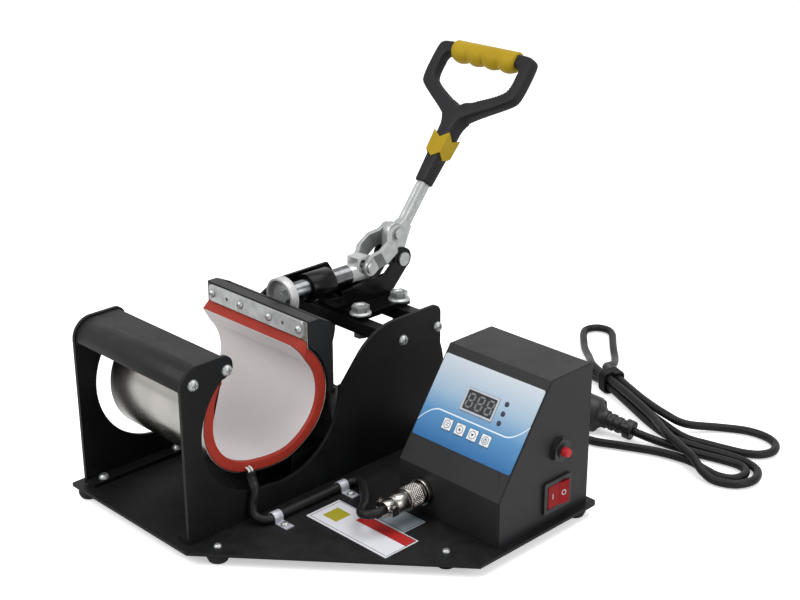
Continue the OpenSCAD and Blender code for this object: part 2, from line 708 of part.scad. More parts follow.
module display_bezel() color([0.8, 0.82, 0.84]) on_base() on_slope() difference() {
    translate([34.9, 51.7, -4]) cube([31.7, 18.3, 5.2]);
    translate([36.5, 53.3, -5]) cube([28.5, 15.1, 8]);
}

module display() color([0.2, 0.21, 0.22]) on_base() on_slope() translate([36.6, 53.4, -7]) cube([28.3, 14.9, 7.6]);

module lamps() color([0.2, 0.25, 0.3]) on_base() on_slope() for (w = lamp_w) translate([lamp_u, w, -5]) {
    cylinder(d = 4, h = 5.4);
    translate([0, 0, 5.4]) cylinder(d1 = 4, d2 = 2.4, h = 0.6);
}

module circuit_board() color([0.1, 0.35, 0.2]) on_base() on_slope() {
    translate([22, 26, -9]) cube([60, 48, 1.6]);
    for (u = [25, 79], w = [29, 71]) translate([u, w, -7.5]) cylinder(d = 4.5, h = 7.5 - box_t);
    translate([38, 55, -7.5]) cube([26, 12, 0.5]);
    for (w = lamp_w) translate([lamp_u, w, -7.5]) cylinder(d = 3.4, h = 2.5);
    for (u = key_u) translate([u - 3, key_w - 3, -7.5]) cube([6, 6, 3.5]);
}

module key(u) color(zinc) on_base() on_slope() {
    translate([u - key_s / 2, key_w - key_s / 2, -box_t - 0.6]) cube([key_s, key_s, box_t + 1.9]);
    translate([u - key_s / 2 - 1, key_w - key_s / 2 - 1, -box_t - 1.5]) cube([key_s + 2, key_s + 2, 1]);
    translate([u - 1.5, key_w - 1.5, -4 + key_travel + 0.1]) cube([3, 3, 3]);
}

module key_1() key(key_u[0]);
module key_2() key(key_u[1]);
module key_3() key(key_u[2]);
module key_4() key(key_u[3]);

// Reset breaker and mains switch on the right side

module on_breaker() {
    translate([box_r, breaker[0], breaker[1]]) rotate([0, 90, 0]) children();
}

module breaker_body() color(rubber) on_base() on_breaker() difference() {
    union() {
        translate([0, 0, -28]) cylinder(d = 18, h = 28 - box_t);
        cylinder(d = 12, h = 4.4);
        cylinder(d = 10.5, h = 5.4);
        translate([0, 0, -box_t - e]) cylinder(d = 12, h = box_t + 2 * e);
        for (s = [-1, 1]) translate([s * 5 - 0.4, -3, -36]) cube([0.8, 6, 9]);
    }
    translate([0, 0, -6]) cylinder(d = 7 + 2 * gap, h = 20);
}

module breaker_nut() color(black) on_base() on_breaker() difference() {
    union() {
        cylinder(d = 19.4, h = 1.4);
        translate([0, 0, 1.4]) cylinder(d = 17 / cos(30), h = 2.8, $fn = 6);
    }
    translate([0, 0, -1]) cylinder(d = 12 + 2 * clear, h = 8);
}

module breaker_button() color([0.8, 0.12, 0.14]) on_base() on_breaker() {
    translate([0, 0, -1.5]) cylinder(d = 7, h = 10.7);
    translate([0, 0, 9.2]) cylinder(d1 = 7, d2 = 5.6, h = button_tip - box_r - 9.2);
}

rock_x = box_r + 0.4;
module switch_housing() color(black) on_base() difference() {
    union() {
        slab(box_r, box_r + 2.2) round_box(rocker_at[0] - 15.5, rocker_at[1] - 13, rocker_at[0] + 15.5,
            rocker_at[1] + 13, [2, 2, 2, 2]);
        translate([box_r - 26, rocker_at[0] - 13.5, rocker_at[1] - 11]) cube([26 + e, 27, 22]);
        for (y = [-8, 0, 8]) translate([box_r - 34, rocker_at[0] + y - 3, rocker_at[1] - 0.4]) cube([9, 6, 0.8]);
    }
    translate([box_r - 9, rocker_at[0] - 12, rocker_at[1] - 9.5]) cube([20, 24, 19]);
    translate([rock_x, rocker_at[0], rocker_at[1] - 10.5]) cylinder(d = 3 + 2 * fit, h = 21);
}

module rocker() color([0.78, 0.1, 0.12]) on_base() {
    translate([rock_x, rocker_at[0], rocker_at[1] - 9.1]) rotate(-7) linear_extrude(18.2)
        polygon([[-6, -5], [-6, 5], [0, 10.8], [3, 10.6], [2, 0], [3, -10.6], [0, -10.8]]);
    translate([rock_x, rocker_at[0], rocker_at[1] - 10.3]) cylinder(d = 3, h = 20.6);
}

// Mains cord, hank lying on the floor behind the box

gland_x = box_x + 50.8;
gland_z = 20;
module cord_gland() color(rubber) on_base() translate([gland_x, box_y + box_d, gland_z]) rotate([-90, 0, 0])
    rotate_extrude() polygon([[cord_d / 2 + 0.1, -5], [7.4, -5], [7.4, -box_t - 0.1], [6, -box_t - 0.1], [6, 0.1],
        [8, 0.1], [8, 3], [5.6, 14], [cord_d / 2 + 0.1, 14]]);

lie = 4;
plug_mouth = [254.3, 389.2, 9.2];
cord_route = [[gland_x, 260, top + gland_z], [gland_x, 277, top + gland_z], [gland_x, 290, top + gland_z],
    [247, 306, 25], [228, 322, 12], [195, 338, 4.3], [156, 366, lie], [131, 398, lie], [123, 420, lie],
    [121, 440, lie], [124, 456, lie], [134, 468.6, 4.2], [153.4, 470.2, 5], [170.5, 462, 7], [181.5, 457.6, 7],
    [192.5, 453, 7], [225, 440, 4.7], [255, 428.5, lie], [285, 419, lie], [308, 422.5, lie], [325, 426.5, lie],
    [338, 430.5, lie], [348.5, 438, lie], [352.5, 450, lie], [347, 462, lie], [334, 468.5, lie], [316, 467, lie],
    [296, 456, lie], [276, 434, 8],
    [256, 430.5, 12.1], [225, 440, 13], [192.5, 453, 14.7], [181.5, 457.6, 14.7], [170.5, 462, 14.7],
    [161, 471, 13.4], [155, 490, 8], [142.5, 508.5, 4.3], [128, 525, lie], [116.5, 538.7, lie], [104, 553.5, lie],
    [94.2, 558.9, lie], [83.5, 556, lie], [79, 546.2, lie], [82.5, 536, lie], [95, 520.6, lie], [109, 505.3, 4.5],
    [130, 485, 8.8], [150, 465, 13.7], [167.5, 455, 14.7],
    [178.5, 450.4, 14.7], [189.5, 446, 14.7], [222, 432.5, 13.6], [252, 418.5, 12.4], [280, 401, 12.4],
    [308, 387, 12.4], [322, 380.5, 11.2], [334, 375.5, 6.4], [347, 373.5, lie], [362.6, 379.9, lie],
    [369, 395.5, lie], [362.6, 411.1, lie], [347, 417.5, lie],
    [328, 416.8, lie], [305, 412, lie], [280, 410.5, lie], [252, 419, lie], [222, 432.5, 4.7], [189.5, 446, 7],
    [178.5, 450.4, 7], [167.5, 455, 7], [158.5, 459, 5.2], [149, 462.4, 4.2], [137.7, 461.3, lie], [131.2, 453, lie],
    [132.4, 442.4, lie], [147.6, 416.4, lie], [174, 381, lie], [203, 360, lie], [232, 358, lie], [257, 369, lie],
    [286, 382, lie], [312, 387, lie], [330, 383.6, lie], [344, 381.5, lie], [354.9, 385.6, lie], [359, 395.5, lie],
    [354.9, 405.4, lie], [345, 409.3, lie], [330, 407, lie], [310, 402, lie],
    [290, 399.2, lie], [275, 395, 5.4], [263, 391.1, 7.6], plug_mouth, [248.5, 388, 10.2]];

// Least distance between the middle lines of two runs of the cord
function least_run(q, skip) = min([for (i = [0:len(q) - 1 - skip], j = [i + skip:len(q) - 1]) norm(q[i] - q[j])]);

module power_cord() color(rubber) frame() {
    echo(cord_gap = least_run(smooth(cord_route, 6), 16) - cord_d);
    tube(cord_route, 3, cord_d / 2, 8);
}

// Wire tie: four turns round the four runs
tie_at = [180, 454, 10.85];
tie_turn = -22;
function tie_point(a) = let (c = cos(a), s = sin(a), k = 9.2 / pow(pow(abs(c), 5) + pow(abs(s), 5), 0.2))
    [a / 360 * 3.4 - 5.6, k * c, k * s];
module cord_tie() color(charcoal) frame() translate(tie_at) rotate([0, 0, tie_turn])
    tube([for (a = [0:20:1180]) tie_point(a)], 1, tie_d / 2, 6);

plug_yaw = 12;
plug_dip = 9.6;
module mains_plug() color(rubber) frame() translate(plug_mouth) rotate([0, 0, plug_yaw])
    rotate([0, plug_dip, 0]) {
        rotate([0, -90, 0]) rotate_extrude() polygon([[0, 8], [cord_d / 2 + 0.05, 8], [cord_d / 2 + 0.05, 0],
            [8, 0], [8.4, 1], [8.4, 7], [6.2, 8], [6.2, 11], [7, 11.4], [7, 14.6], [6.4, 15], [6.4, 17.4],
            [7.4, 17.8], [7.4, 21], [6.8, 21.4], [6.8, 24], [8, 24.4], [8, 28], [11, 31], [14.6, 33],
            [15.6, 36], [15.6, 60], [14.4, 61.2], [0, 61.2]]);
        for (s = [-1, 1]) translate([-61.2, s * 9.5, 0]) rotate([0, -90, 0]) cylinder(d = 4.8, h = 19);
    }

// Press block, sliding toward the front posts

module cheek_profile() {
    difference() {
        polygon([[block_y, 138], [block_y + 9.5, 138], [block_back, block_top], [block_back, cheek_low],
            [block_back - 6, cheek_low], [block_y, 100]]);
        disc2([rear_c, mug_z], heat_r + 0.8);
    }
}

module press_block() color(black) on_base() difference() {
    union() {
        for (s = [-1, 1]) slab(mid + s * 60.5 - 1.5, mid + s * 60.5 + 1.5) cheek_profile();
        translate([mid - 60, block_y, strip_low - 1]) cube([120, 9.5, 139 - strip_low]);
        translate([mid - 60, block_back - 2, deck_z + gap + 3]) cube([120, 2, block_top - deck_z - gap - 3]);
        translate([mid - 60, block_back - 2, deck_z + gap + 3]) cube([120, 19.5, 3]);
    }
    for (x = strip_screw_x()) rod_y(block_y - 1, block_y + 8, x, strip_z(), 3.5 + 2 * clear);
    for (s = [-1, 1]) translate([mid + s * 53.5, 164, deck_z + 2]) cylinder(d = 5 + 2 * clear, h = 6);
}

module press_saddle() color(black) on_base() slab(mid - 58.9, mid + 58.9) intersection() {
    difference() {
        disc2([rear_c, mug_z], heat_r + 2.4);
        disc2([rear_c, mug_z], heat_r + 0.8);
    }
    polygon([[rear_c, mug_z], [rear_c + 60, mug_z - 6], [rear_c + 60, mug_z + 72]]);
}

module press_strip() color(zinc) on_base() strip(tab_y - 2);

module strip_screws() color(zinc) on_base() {
    for (x = strip_screw_x()) translate([x, tab_y - 2, strip_z()]) rotate([90, 0, 0]) pan_screw(3.5, 7, 2.4, 9);
    for (s = [-1, 1]) translate([mid + s * 53.5, 164, deck_z + 6.3]) pan_screw(5, 9, 3, 5.8);
}

module carriage() color(black) on_base() difference() {
    translate([mid - 60, block_back - 3, deck_z + gap]) cube([120, 207 - block_back + 3, 3]);
    for (s = [-1, 1]) translate([mid + s * 53.5, 164, deck_z - 1]) cylinder(d = 5 + 2 * clear, h = 6);
    for (s = [-1, 1]) translate([mid + s * 35, 196, deck_z - 1]) cylinder(d = 6 + 2 * clear, h = 6);
}

module guide_studs() color(zinc) on_base() for (s = [-1, 1]) translate([mid + s * 35, 196, deck_z + gap + 3]) {
    pan_screw(6, 10, 3, 12);
    translate([0, 0, -5 - 2 * gap - 1.6]) cylinder(d = 14, h = 1.6);
    translate([0, 0, -5 - 2 * gap - 6]) hex(10, 4.6);
}

// Plunger, with a slotted eye for the link pin

cup_y = block_back + 0.5;
module plunger() color(chrome) on_base() {
    difference() {
        union() {
            rod_y(cup_y + 8 + gap, tongue_y + 0.5, mid, rod_z, rod_d);
            rod_y(cup_y + 1, cup_y + 9, mid, rod_z, 8);
            slab(mid - tongue, mid + tongue) {
                translate([tongue_y, axis_z - 9.5]) square([pin_y - tongue_y, 19]);
                disc2([pin_y, axis_z], 9.5);
            }
        }
        slab(mid - tongue - 1, mid + tongue + 1) {
            disc2([pin_y, axis_z], slot_r);
            disc2([pin_y - slot_run[0], axis_z + slot_run[1]], slot_r);
            translate([pin_y - slot_run[0] / 2, axis_z + slot_run[1] / 2]) rotate(-atan2(slot_run[1], slot_run[0]))
                square([norm(slot_run), 2 * slot_r], center = true);
        }
        for (s = [-1, 1]) translate([mid + s * (tongue + 2) - 2, pin_y - 17, axis_z - 14]) cube([4, 10, 24]);
    }
    translate([mid, cup_y + 1.2, rod_z]) rotate([-90, 0, 0]) hex(13, 3.4);
}

module pressure_cup() color(zinc) on_base() translate([mid, cup_y, rod_z]) rotate([-90, 0, 0]) rotate_extrude()
    polygon([[4 + fit, 5], [cup_d / 2 - 2.4, 5], [cup_d / 2 - 2.4, 0], [cup_d / 2 - 0.6, 0], [cup_d / 2, 0.6],
        [cup_d / 2, 7.2], [cup_d / 2 - 0.8, 8], [4 + fit, 8]]);

// Two bowed arms from the handle pin to the plunger pin

module link_frame() {
    translate([mid, pivot_y, axis_z + crank]) rotate([link_lean, 0, 0]) children();
}

module link_side() {
    disc2([0, 0], 7);
    disc2([-link_l, 0], 7);
    translate([-link_l, -7]) square([link_l, 14]);
}

module link_arms() color(zinc) on_base() link_frame() {
    difference() {
        intersection() {
            slab(-20, 20) link_side();
            translate([0, 0, -8]) linear_extrude(16) for (s = [0, 1]) mirror([s, 0])
                polygon([[bar_t / 2 + gap, 8], [bar_t / 2 + gap, -7], [bow, -15], [bow, -26],
                    [tongue + gap, -32], [tongue + gap, -link_l - 8], [tongue + gap + arm_t, -link_l - 8],
                    [tongue + gap + arm_t, -34], [bow + arm_t, -27.6], [bow + arm_t, -13.4],
                    [bar_t / 2 + gap + arm_t, -5.4], [bar_t / 2 + gap + arm_t, 8]]);
        }
        rod_x(-30, 30, 0, 0, 6 + 2 * fit);
    }
    reach = tongue + gap + arm_t;
    rod_x(-reach - 0.5, reach + 0.5, -link_l, 0, 5);
    for (s = [-1, 1]) rod_x(s * (reach + 1) - 1, s * (reach + 1) + 1, -link_l, 0, 10);
}

// Handle: flat crank and bar, D grip of two tone plastic, link pin

module handle_frame() {
    translate([mid, bar_root[0], bar_root[1]]) rotate([lean, 0, 0]) children();
}

module crank_profile() {
    difference() {
        union() {
            disc2([pivot_y, axis_z], 9);
            disc2([pivot_y, axis_z + crank], 8);
            polygon([[pivot_y - 8, axis_z + crank], [pivot_y - 9, axis_z], [pivot_y + 9, axis_z],
                [bar_root[0] + 5, bar_root[1] - 4], [bar_root[0] - 2, bar_root[1] + 4]]);
            translate(bar_root) rotate(lean) translate([-8, -4.5]) square([68, 9]);
        }
        disc2([pivot_y, axis_z], 4 + fit);
        disc2([pivot_y, axis_z + crank], 3 + clear);
    }
}

module handle_bar() color(zinc) on_base() difference() {
    slab(mid - bar_t / 2, mid + bar_t / 2) crank_profile();
    handle_frame() for (s = [-1, 1]) translate([s * bar_t / 2 - 0.5, 2, -1.2]) cube([1, 34, 2.4]);
    handle_frame() translate([-1.2, 2, 4]) cube([2.4, 34, 2]);
}

module link_pin() color(zinc) on_base() {
    reach = bar_t / 2 + arm_t + 2 * gap;
    rod_x(mid - reach - 0.5, mid + reach + 0.5, pivot_y, axis_z + crank, 6);
    for (s = [-1, 1]) rod_x(mid + s * (reach + 1) - 1, mid + s * (reach + 1) + 1, pivot_y, axis_z + crank, 10);
}

// Tapered square socket round the bar, grown outward by the given amount
module socket_body(grow, s0, s1) {
    intersection() {
        hull() {
            translate([-6.4 - grow, 37, -6.4 - grow]) cube([12.8 + 2 * grow, 0.1, 12.8 + 2 * grow]);
            translate([-8.6 - grow, 97, -8 - grow]) cube([17.2 + 2 * grow, 0.1, 16 + 2 * grow]);
        }
        translate([-30, s0, -30]) cube([60, s1 - s0, 60]);
    }
}

leg = 11;
leg_x = grip_w / 2 - leg / 2;
module grip_frame() color(charcoal) on_base() handle_frame() difference() {
    union() {
        socket_body(0, 37, 98);
        hull() {
            translate([-8.6, 96, -8]) cube([17.2, 1, 16]);
            translate([-19, 108, -5.5]) cube([38, 3, 11]);
        }
        for (s = [-1, 1]) {
            hull() {
                translate([s * 13, 105, -5.5]) cylinder(d = 12, h = 11);
                translate([s * leg_x, 127, -5.5]) cylinder(d = leg, h = 11);
            }
            translate([s * leg_x - leg / 2, 127, -5.5]) cube([leg, 34, 11]);
            translate([s * leg_x, 161.4, -5.5]) cylinder(d = leg, h = 11);
            translate([s * 43 - 7, 155.6, -5.5]) cube([14, 11.3, 11]);
        }
        rod_x(-leg_x, leg_x, grip_s, 0, 10);
    }
    translate([-bar_t / 2 - clear, 30, -4.5 - clear]) cube([bar_t + 2 * clear, 30.2, 9 + 2 * clear]);
}

// Soft hand sleeve with four finger swells on the inner side
module grip_sleeve() color(yellow) on_base() handle_frame() difference() {
    union() {
        rod_x(-35.8, 35.8, grip_s, 0, grip_d);
        for (i = [-1.5:1:1.5]) translate([i * 17.6, grip_s - 3, -4.6]) cylinder(d = 17, h = 9.2);
    }
    rod_x(-60, 60, grip_s, 0, 10 + 2 * clear);
    for (s = [-1, 1]) translate([s * 45.9 - 10, 140, -20]) cube([20, 40, 40]);
}

// Zigzag band inlaid round the socket
module collar_band() color(yellow) on_base() handle_frame() difference() {
    intersection() {
        socket_body(0.9, 58, 86);
        union() {
            for (a = [0, 90, 180, 270]) rotate([0, a, 0]) intersection() {
                translate([0, 0, -30]) linear_extrude(60)
                    polygon([[-14, 69], [0, 60], [14, 69], [14, 87], [0, 78], [-14, 87]]);
                rotate([-90, 0, 0]) linear_extrude(100) polygon([[0, 0], [20, -20], [-20, -20]]);
            }
        }
    }
    socket_body(0.05, 30, 97);
}

base_plate();
rubber_feet();
base_screws();
side_plate_left();
side_plate_right();
front_cover();
plate_screws();
cross_bar_front();
cross_bar_rear();
slide_table();
clamp_body();
clamp_bolts();
pivot_pin();
heater_band();
heater_mat();
heater_facing();
front_strip();
front_strip_screws();
heater_lead();
heater_cable();
cable_clips();
plug_shell();
plug_clamp();
coupling_nut();
socket();
box_shell();
box_tray();
panel_label();
display();
display_bezel();
lamps();
circuit_board();
key_1();
key_2();
key_3();
key_4();
breaker_body();
breaker_nut();
breaker_button();
switch_housing();
rocker();
cord_gland();
power_cord();
cord_tie();
mains_plug();
press_block();
press_saddle();
press_strip();
strip_screws();
carriage();
guide_studs();
plunger();
pressure_cup();
link_arms();
handle_bar();
link_pin();
grip_frame();
grip_sleeve();
collar_band();
base_stickers();
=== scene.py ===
"""Looks of a bench mug heat press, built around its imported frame.

Lengths on the machine are in millimetres from the base sheet's left front
corner, as in the part's source; finished meshes are in metres in the frame.
"""

from __future__ import annotations

import json
import logging
import math
from dataclasses import dataclass, field, replace
from enum import Enum

import bmesh
import bpy
import numpy as np
from mathutils import Matrix, Vector

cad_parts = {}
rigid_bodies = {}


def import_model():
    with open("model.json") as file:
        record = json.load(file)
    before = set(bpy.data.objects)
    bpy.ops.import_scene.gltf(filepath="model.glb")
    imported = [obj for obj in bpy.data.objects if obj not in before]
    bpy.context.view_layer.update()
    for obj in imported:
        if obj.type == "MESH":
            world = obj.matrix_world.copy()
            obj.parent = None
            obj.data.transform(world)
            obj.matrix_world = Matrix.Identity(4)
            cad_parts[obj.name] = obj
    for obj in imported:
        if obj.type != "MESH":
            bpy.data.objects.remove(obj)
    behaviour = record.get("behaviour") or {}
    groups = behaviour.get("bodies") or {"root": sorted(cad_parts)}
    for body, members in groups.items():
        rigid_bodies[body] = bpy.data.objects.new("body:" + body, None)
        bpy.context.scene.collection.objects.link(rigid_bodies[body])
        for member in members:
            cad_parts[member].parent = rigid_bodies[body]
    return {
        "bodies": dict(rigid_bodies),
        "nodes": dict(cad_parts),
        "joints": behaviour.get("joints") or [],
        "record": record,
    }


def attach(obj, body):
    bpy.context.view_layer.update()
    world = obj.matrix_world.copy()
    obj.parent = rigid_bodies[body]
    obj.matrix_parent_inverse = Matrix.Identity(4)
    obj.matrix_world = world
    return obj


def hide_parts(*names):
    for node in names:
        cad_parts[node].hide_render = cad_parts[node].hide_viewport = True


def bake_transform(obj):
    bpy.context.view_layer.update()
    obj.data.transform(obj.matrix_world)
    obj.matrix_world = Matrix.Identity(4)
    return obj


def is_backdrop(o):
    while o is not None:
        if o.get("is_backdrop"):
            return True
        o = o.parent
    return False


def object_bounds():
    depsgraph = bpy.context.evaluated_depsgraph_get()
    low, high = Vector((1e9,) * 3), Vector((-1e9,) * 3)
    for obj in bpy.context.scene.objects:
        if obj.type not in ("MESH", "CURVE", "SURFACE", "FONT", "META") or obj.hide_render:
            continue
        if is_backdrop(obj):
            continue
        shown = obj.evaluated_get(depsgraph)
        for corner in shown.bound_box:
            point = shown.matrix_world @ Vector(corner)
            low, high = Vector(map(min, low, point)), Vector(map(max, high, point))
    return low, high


Array = np.ndarray
Pair = tuple[float, float]
Point = tuple[float, float, float]
Colour = tuple[float, float, float]

LOG = logging.getLogger("mug_press")
MM = 1e-3
MERGE_WITHIN = 1e-7
WAY_X, WAY_Y, WAY_Z = (1.0, 0.0, 0.0), (0.0, 1.0, 0.0), (0.0, 0.0, 1.0)

LEAN = math.radians(51.3)
GRIP_S = 161.0
GRIP_D = 17.0
BAR_ROOT = (295.0, 164.0)
BUTTON_TIP = 313.8
BASE_TOP = 11.0
MIDDLE = 74.25
ORIGIN_X = BUTTON_TIP / 2
ORIGIN_Y = (BAR_ROOT[0] + GRIP_S * math.cos(LEAN) + GRIP_D / 2) / 2

GRAIN_STRENGTH = 0.6
DUST_GREY = (0.42, 0.41, 0.4)


def on_floor(points: Array) -> Array:
    """Machine millimetres with Z from the floor, turned into frame metres.

    Args:
        points: Array whose last axis is X, Y, Z.

    Returns:
        Array of the same shape in metres.
    """
    return (np.asarray(points, float) - (ORIGIN_X, ORIGIN_Y, 0.0)) * MM


def on_base(points: Array) -> Array:
    """Machine millimetres with Z from the base sheet's top, turned into frame metres.

    Args:
        points: Array whose last axis is X, Y, Z.

    Returns:
        Array of the same shape in metres.
    """
    return (np.asarray(points, float) - (ORIGIN_X, ORIGIN_Y, -BASE_TOP)) * MM


def round_angles(count: int) -> Array:
    """Angles of even steps once round a circle."""
    return np.arange(count) / count * 2 * np.pi


def run_length(points: Array) -> Array:
    """Length of a line from its start to each of its points."""
    return np.r_[0.0, np.cumsum(np.linalg.norm(np.diff(points, axis=0), axis=1))]


def resample(points: Array, along: Array, at: Array) -> Array:
    """Points of a flat line, each between its neighbours, at the given lengths along it."""
    return np.stack([np.interp(at, along, points[:, k]) for k in (0, 1)], 1)


def smooth_route(points: Array, steps: int) -> Array:
    """Cubic through every point: each span mixes its two ends and their neighbours.

    Args:
        points: Route points, one row each.
        steps: Samples to a span.

    Returns:
        Array of the sampled route, ending on the last point.
    """
    p = np.asarray(points, float)
    a, b, c, d = (p[np.clip(np.arange(len(p) - 1) + k, 0, len(p) - 1)][:, None] for k in (-1, 0, 1, 2))
    t = (np.arange(steps) / steps)[None, :, None]
    q = 0.5 * (2 * b + (c - a) * t + (2 * a - 5 * b + 4 * c - d) * t**2 + (3 * b - a - 3 * c + d) * t**3)
    return np.concatenate([q.reshape(-1, p.shape[1]), p[-1:]])


def round_corners(points: Array, turns: int) -> Array:
    """Open outline with its corners cut to quarter points again and again.

    Args:
        points: Outline points, one row each.
        turns: Times that the corners are cut.

    Returns:
        Array of the rounded outline with the same two ends.
    """
    p = np.asarray(points, float)
    for _ in range(turns):
        low, high = 0.75 * p[:-1] + 0.25 * p[1:], 0.25 * p[:-1] + 0.75 * p[1:]
        p = np.concatenate([p[:1], np.stack([low, high], 1).reshape(-1, p.shape[1]), p[-1:]])
    return p


def rounded_square(count: int, power: float) -> Array:
    """Unit superellipse: cosine and sine, each raised to two over the power.

    Args:
        count: Points round the outline.
        power: Two gives a circle, large values a square.

    Returns:
        Array of count rows of two coordinates.
    """
    a = round_angles(count)
    c, s = np.cos(a), np.sin(a)
    return np.stack([np.sign(c) * np.abs(c) ** (2 / power), np.sign(s) * np.abs(s) ** (2 / power)], 1)


class Shape:
    """Points and faces gathered from several surfaces, made into one object."""

    def __init__(self) -> None:
        """Starts with no points."""
        self.points: list[Array] = []
        self.faces: list[list[int]] = []
        self.count = 0

    def surface(self, grid: Array, wrap_u: bool = False, wrap_v: bool = False, caps: bool = False) -> "Shape":
        """Adds quads over a grid of points.

        Args:
            grid: Array of rows, columns and three coordinates, in metres.
            wrap_u: Joins the last row to the first.
            wrap_v: Joins the last column to the first.
            caps: Closes the first and the last row with a face each.

        Returns:
            This shape, so that calls can follow each other.
        """
        rows, cols = grid.shape[:2]
        i = np.arange(rows if wrap_u else rows - 1)[:, None]
        j = np.arange(cols if wrap_v else cols - 1)[None, :]
        k, m = (i + 1) % rows, (j + 1) % cols
        quads = np.stack(np.broadcast_arrays(i * cols + j, i * cols + m, k * cols + m, k * cols + j), -1)
        self.faces += (quads.reshape(-1, 4) + self.count).tolist()
        if caps:
            ring = np.arange(cols) + self.count
            self.faces += [ring[::-1].tolist(), (ring + (rows - 1) * cols).tolist()]
        self.points.append(grid.reshape(-1, 3))
        self.count += rows * cols
        return self

    def bar(self, grid: Array) -> "Shape":
        """Adds closed rings, one to each row, with a face on both ends."""
        return self.surface(grid, wrap_v=True, caps=True)

    def loop(self, grid: Array) -> "Shape":
        """Adds closed rings whose last row meets the first."""
        return self.surface(grid, wrap_u=True, wrap_v=True)

    def prism(self, outline: Array, normal: Array) -> "Shape":
        """Adds a flat outline in metres carried along a normal, closed at both ends."""
        return self.bar(np.stack([outline, outline + normal]))

    def build(self, name: str, sharp: float = 35.0) -> bpy.types.Object:
        """Makes the object, with faces outward and edges under the angle smooth.

        Args:
            name: Name of the piece.
            sharp: Angle in degrees over which an edge stays sharp.

        Returns:
            The new object, linked to the scene.
        """
        mesh = bpy.data.meshes.new(name)
        mesh.from_pydata(np.concatenate(self.points).tolist(), [], self.faces)
        work = bmesh.new()
        work.from_mesh(mesh)
        bmesh.ops.remove_doubles(work, verts=work.verts, dist=MERGE_WITHIN)
        bmesh.ops.recalc_face_normals(work, faces=work.faces)
        work.to_mesh(mesh)
        work.free()
        mesh.polygons.foreach_set("use_smooth", np.ones(len(mesh.polygons), bool))
        mesh.set_sharp_from_angle(angle=math.radians(sharp))
        piece = bpy.data.objects.new(name, mesh)
        bpy.context.scene.collection.objects.link(piece)
        return piece


def tube(path: Array, diameter: float, sides: int, guide: Point) -> Array:
    """Round section carried along a path, its spokes squared to a fixed guide.

    Args:
        path: Points in metres, one row each.
        diameter: Width of the section in millimetres.
        sides: Points round the section.
        guide: Direction that no stretch of the path runs along.

    Returns:
        Grid of points, one row to each point of the path.
    """
    way = np.gradient(path, axis=0)
    way /= np.linalg.norm(way, axis=1, keepdims=True)
    across = np.cross(way, guide)
    across /= np.linalg.norm(across, axis=1, keepdims=True)
    up = np.cross(across, way)
    a = round_angles(sides)[None, :, None]
    return path[:, None] + diameter / 2 * MM * (np.cos(a) * across[:, None] + np.sin(a) * up[:, None])


def turned(profile: Array, centre: Pair, ripple: Array) -> Array:
    """Profile of radius and Y spun about an axis along Y.

    Args:
        profile: Rows of radius and Y, in machine millimetres.
        centre: X and Z of the axis, in machine millimetres from the base top.
        ripple: Extra radius for each row and each side, in millimetres.

    Returns:
        Grid of points in metres, one row to each row of the profile.
    """
    r = profile[:, :1] + ripple
    a = round_angles(r.shape[1])
    y = np.broadcast_to(profile[:, 1:], r.shape)
    return on_base(np.stack([centre[0] + r * np.cos(a), y, centre[1] + r * np.sin(a)], -1))


# Finishes


class Grain(Enum):
    """Way that a surface's fine lines run."""

    NONE = (1.0, 1.0, 1.0)
    ALONG_X = (0.03, 1.0, 1.0)
    ALONG_Y = (1.0, 0.03, 1.0)


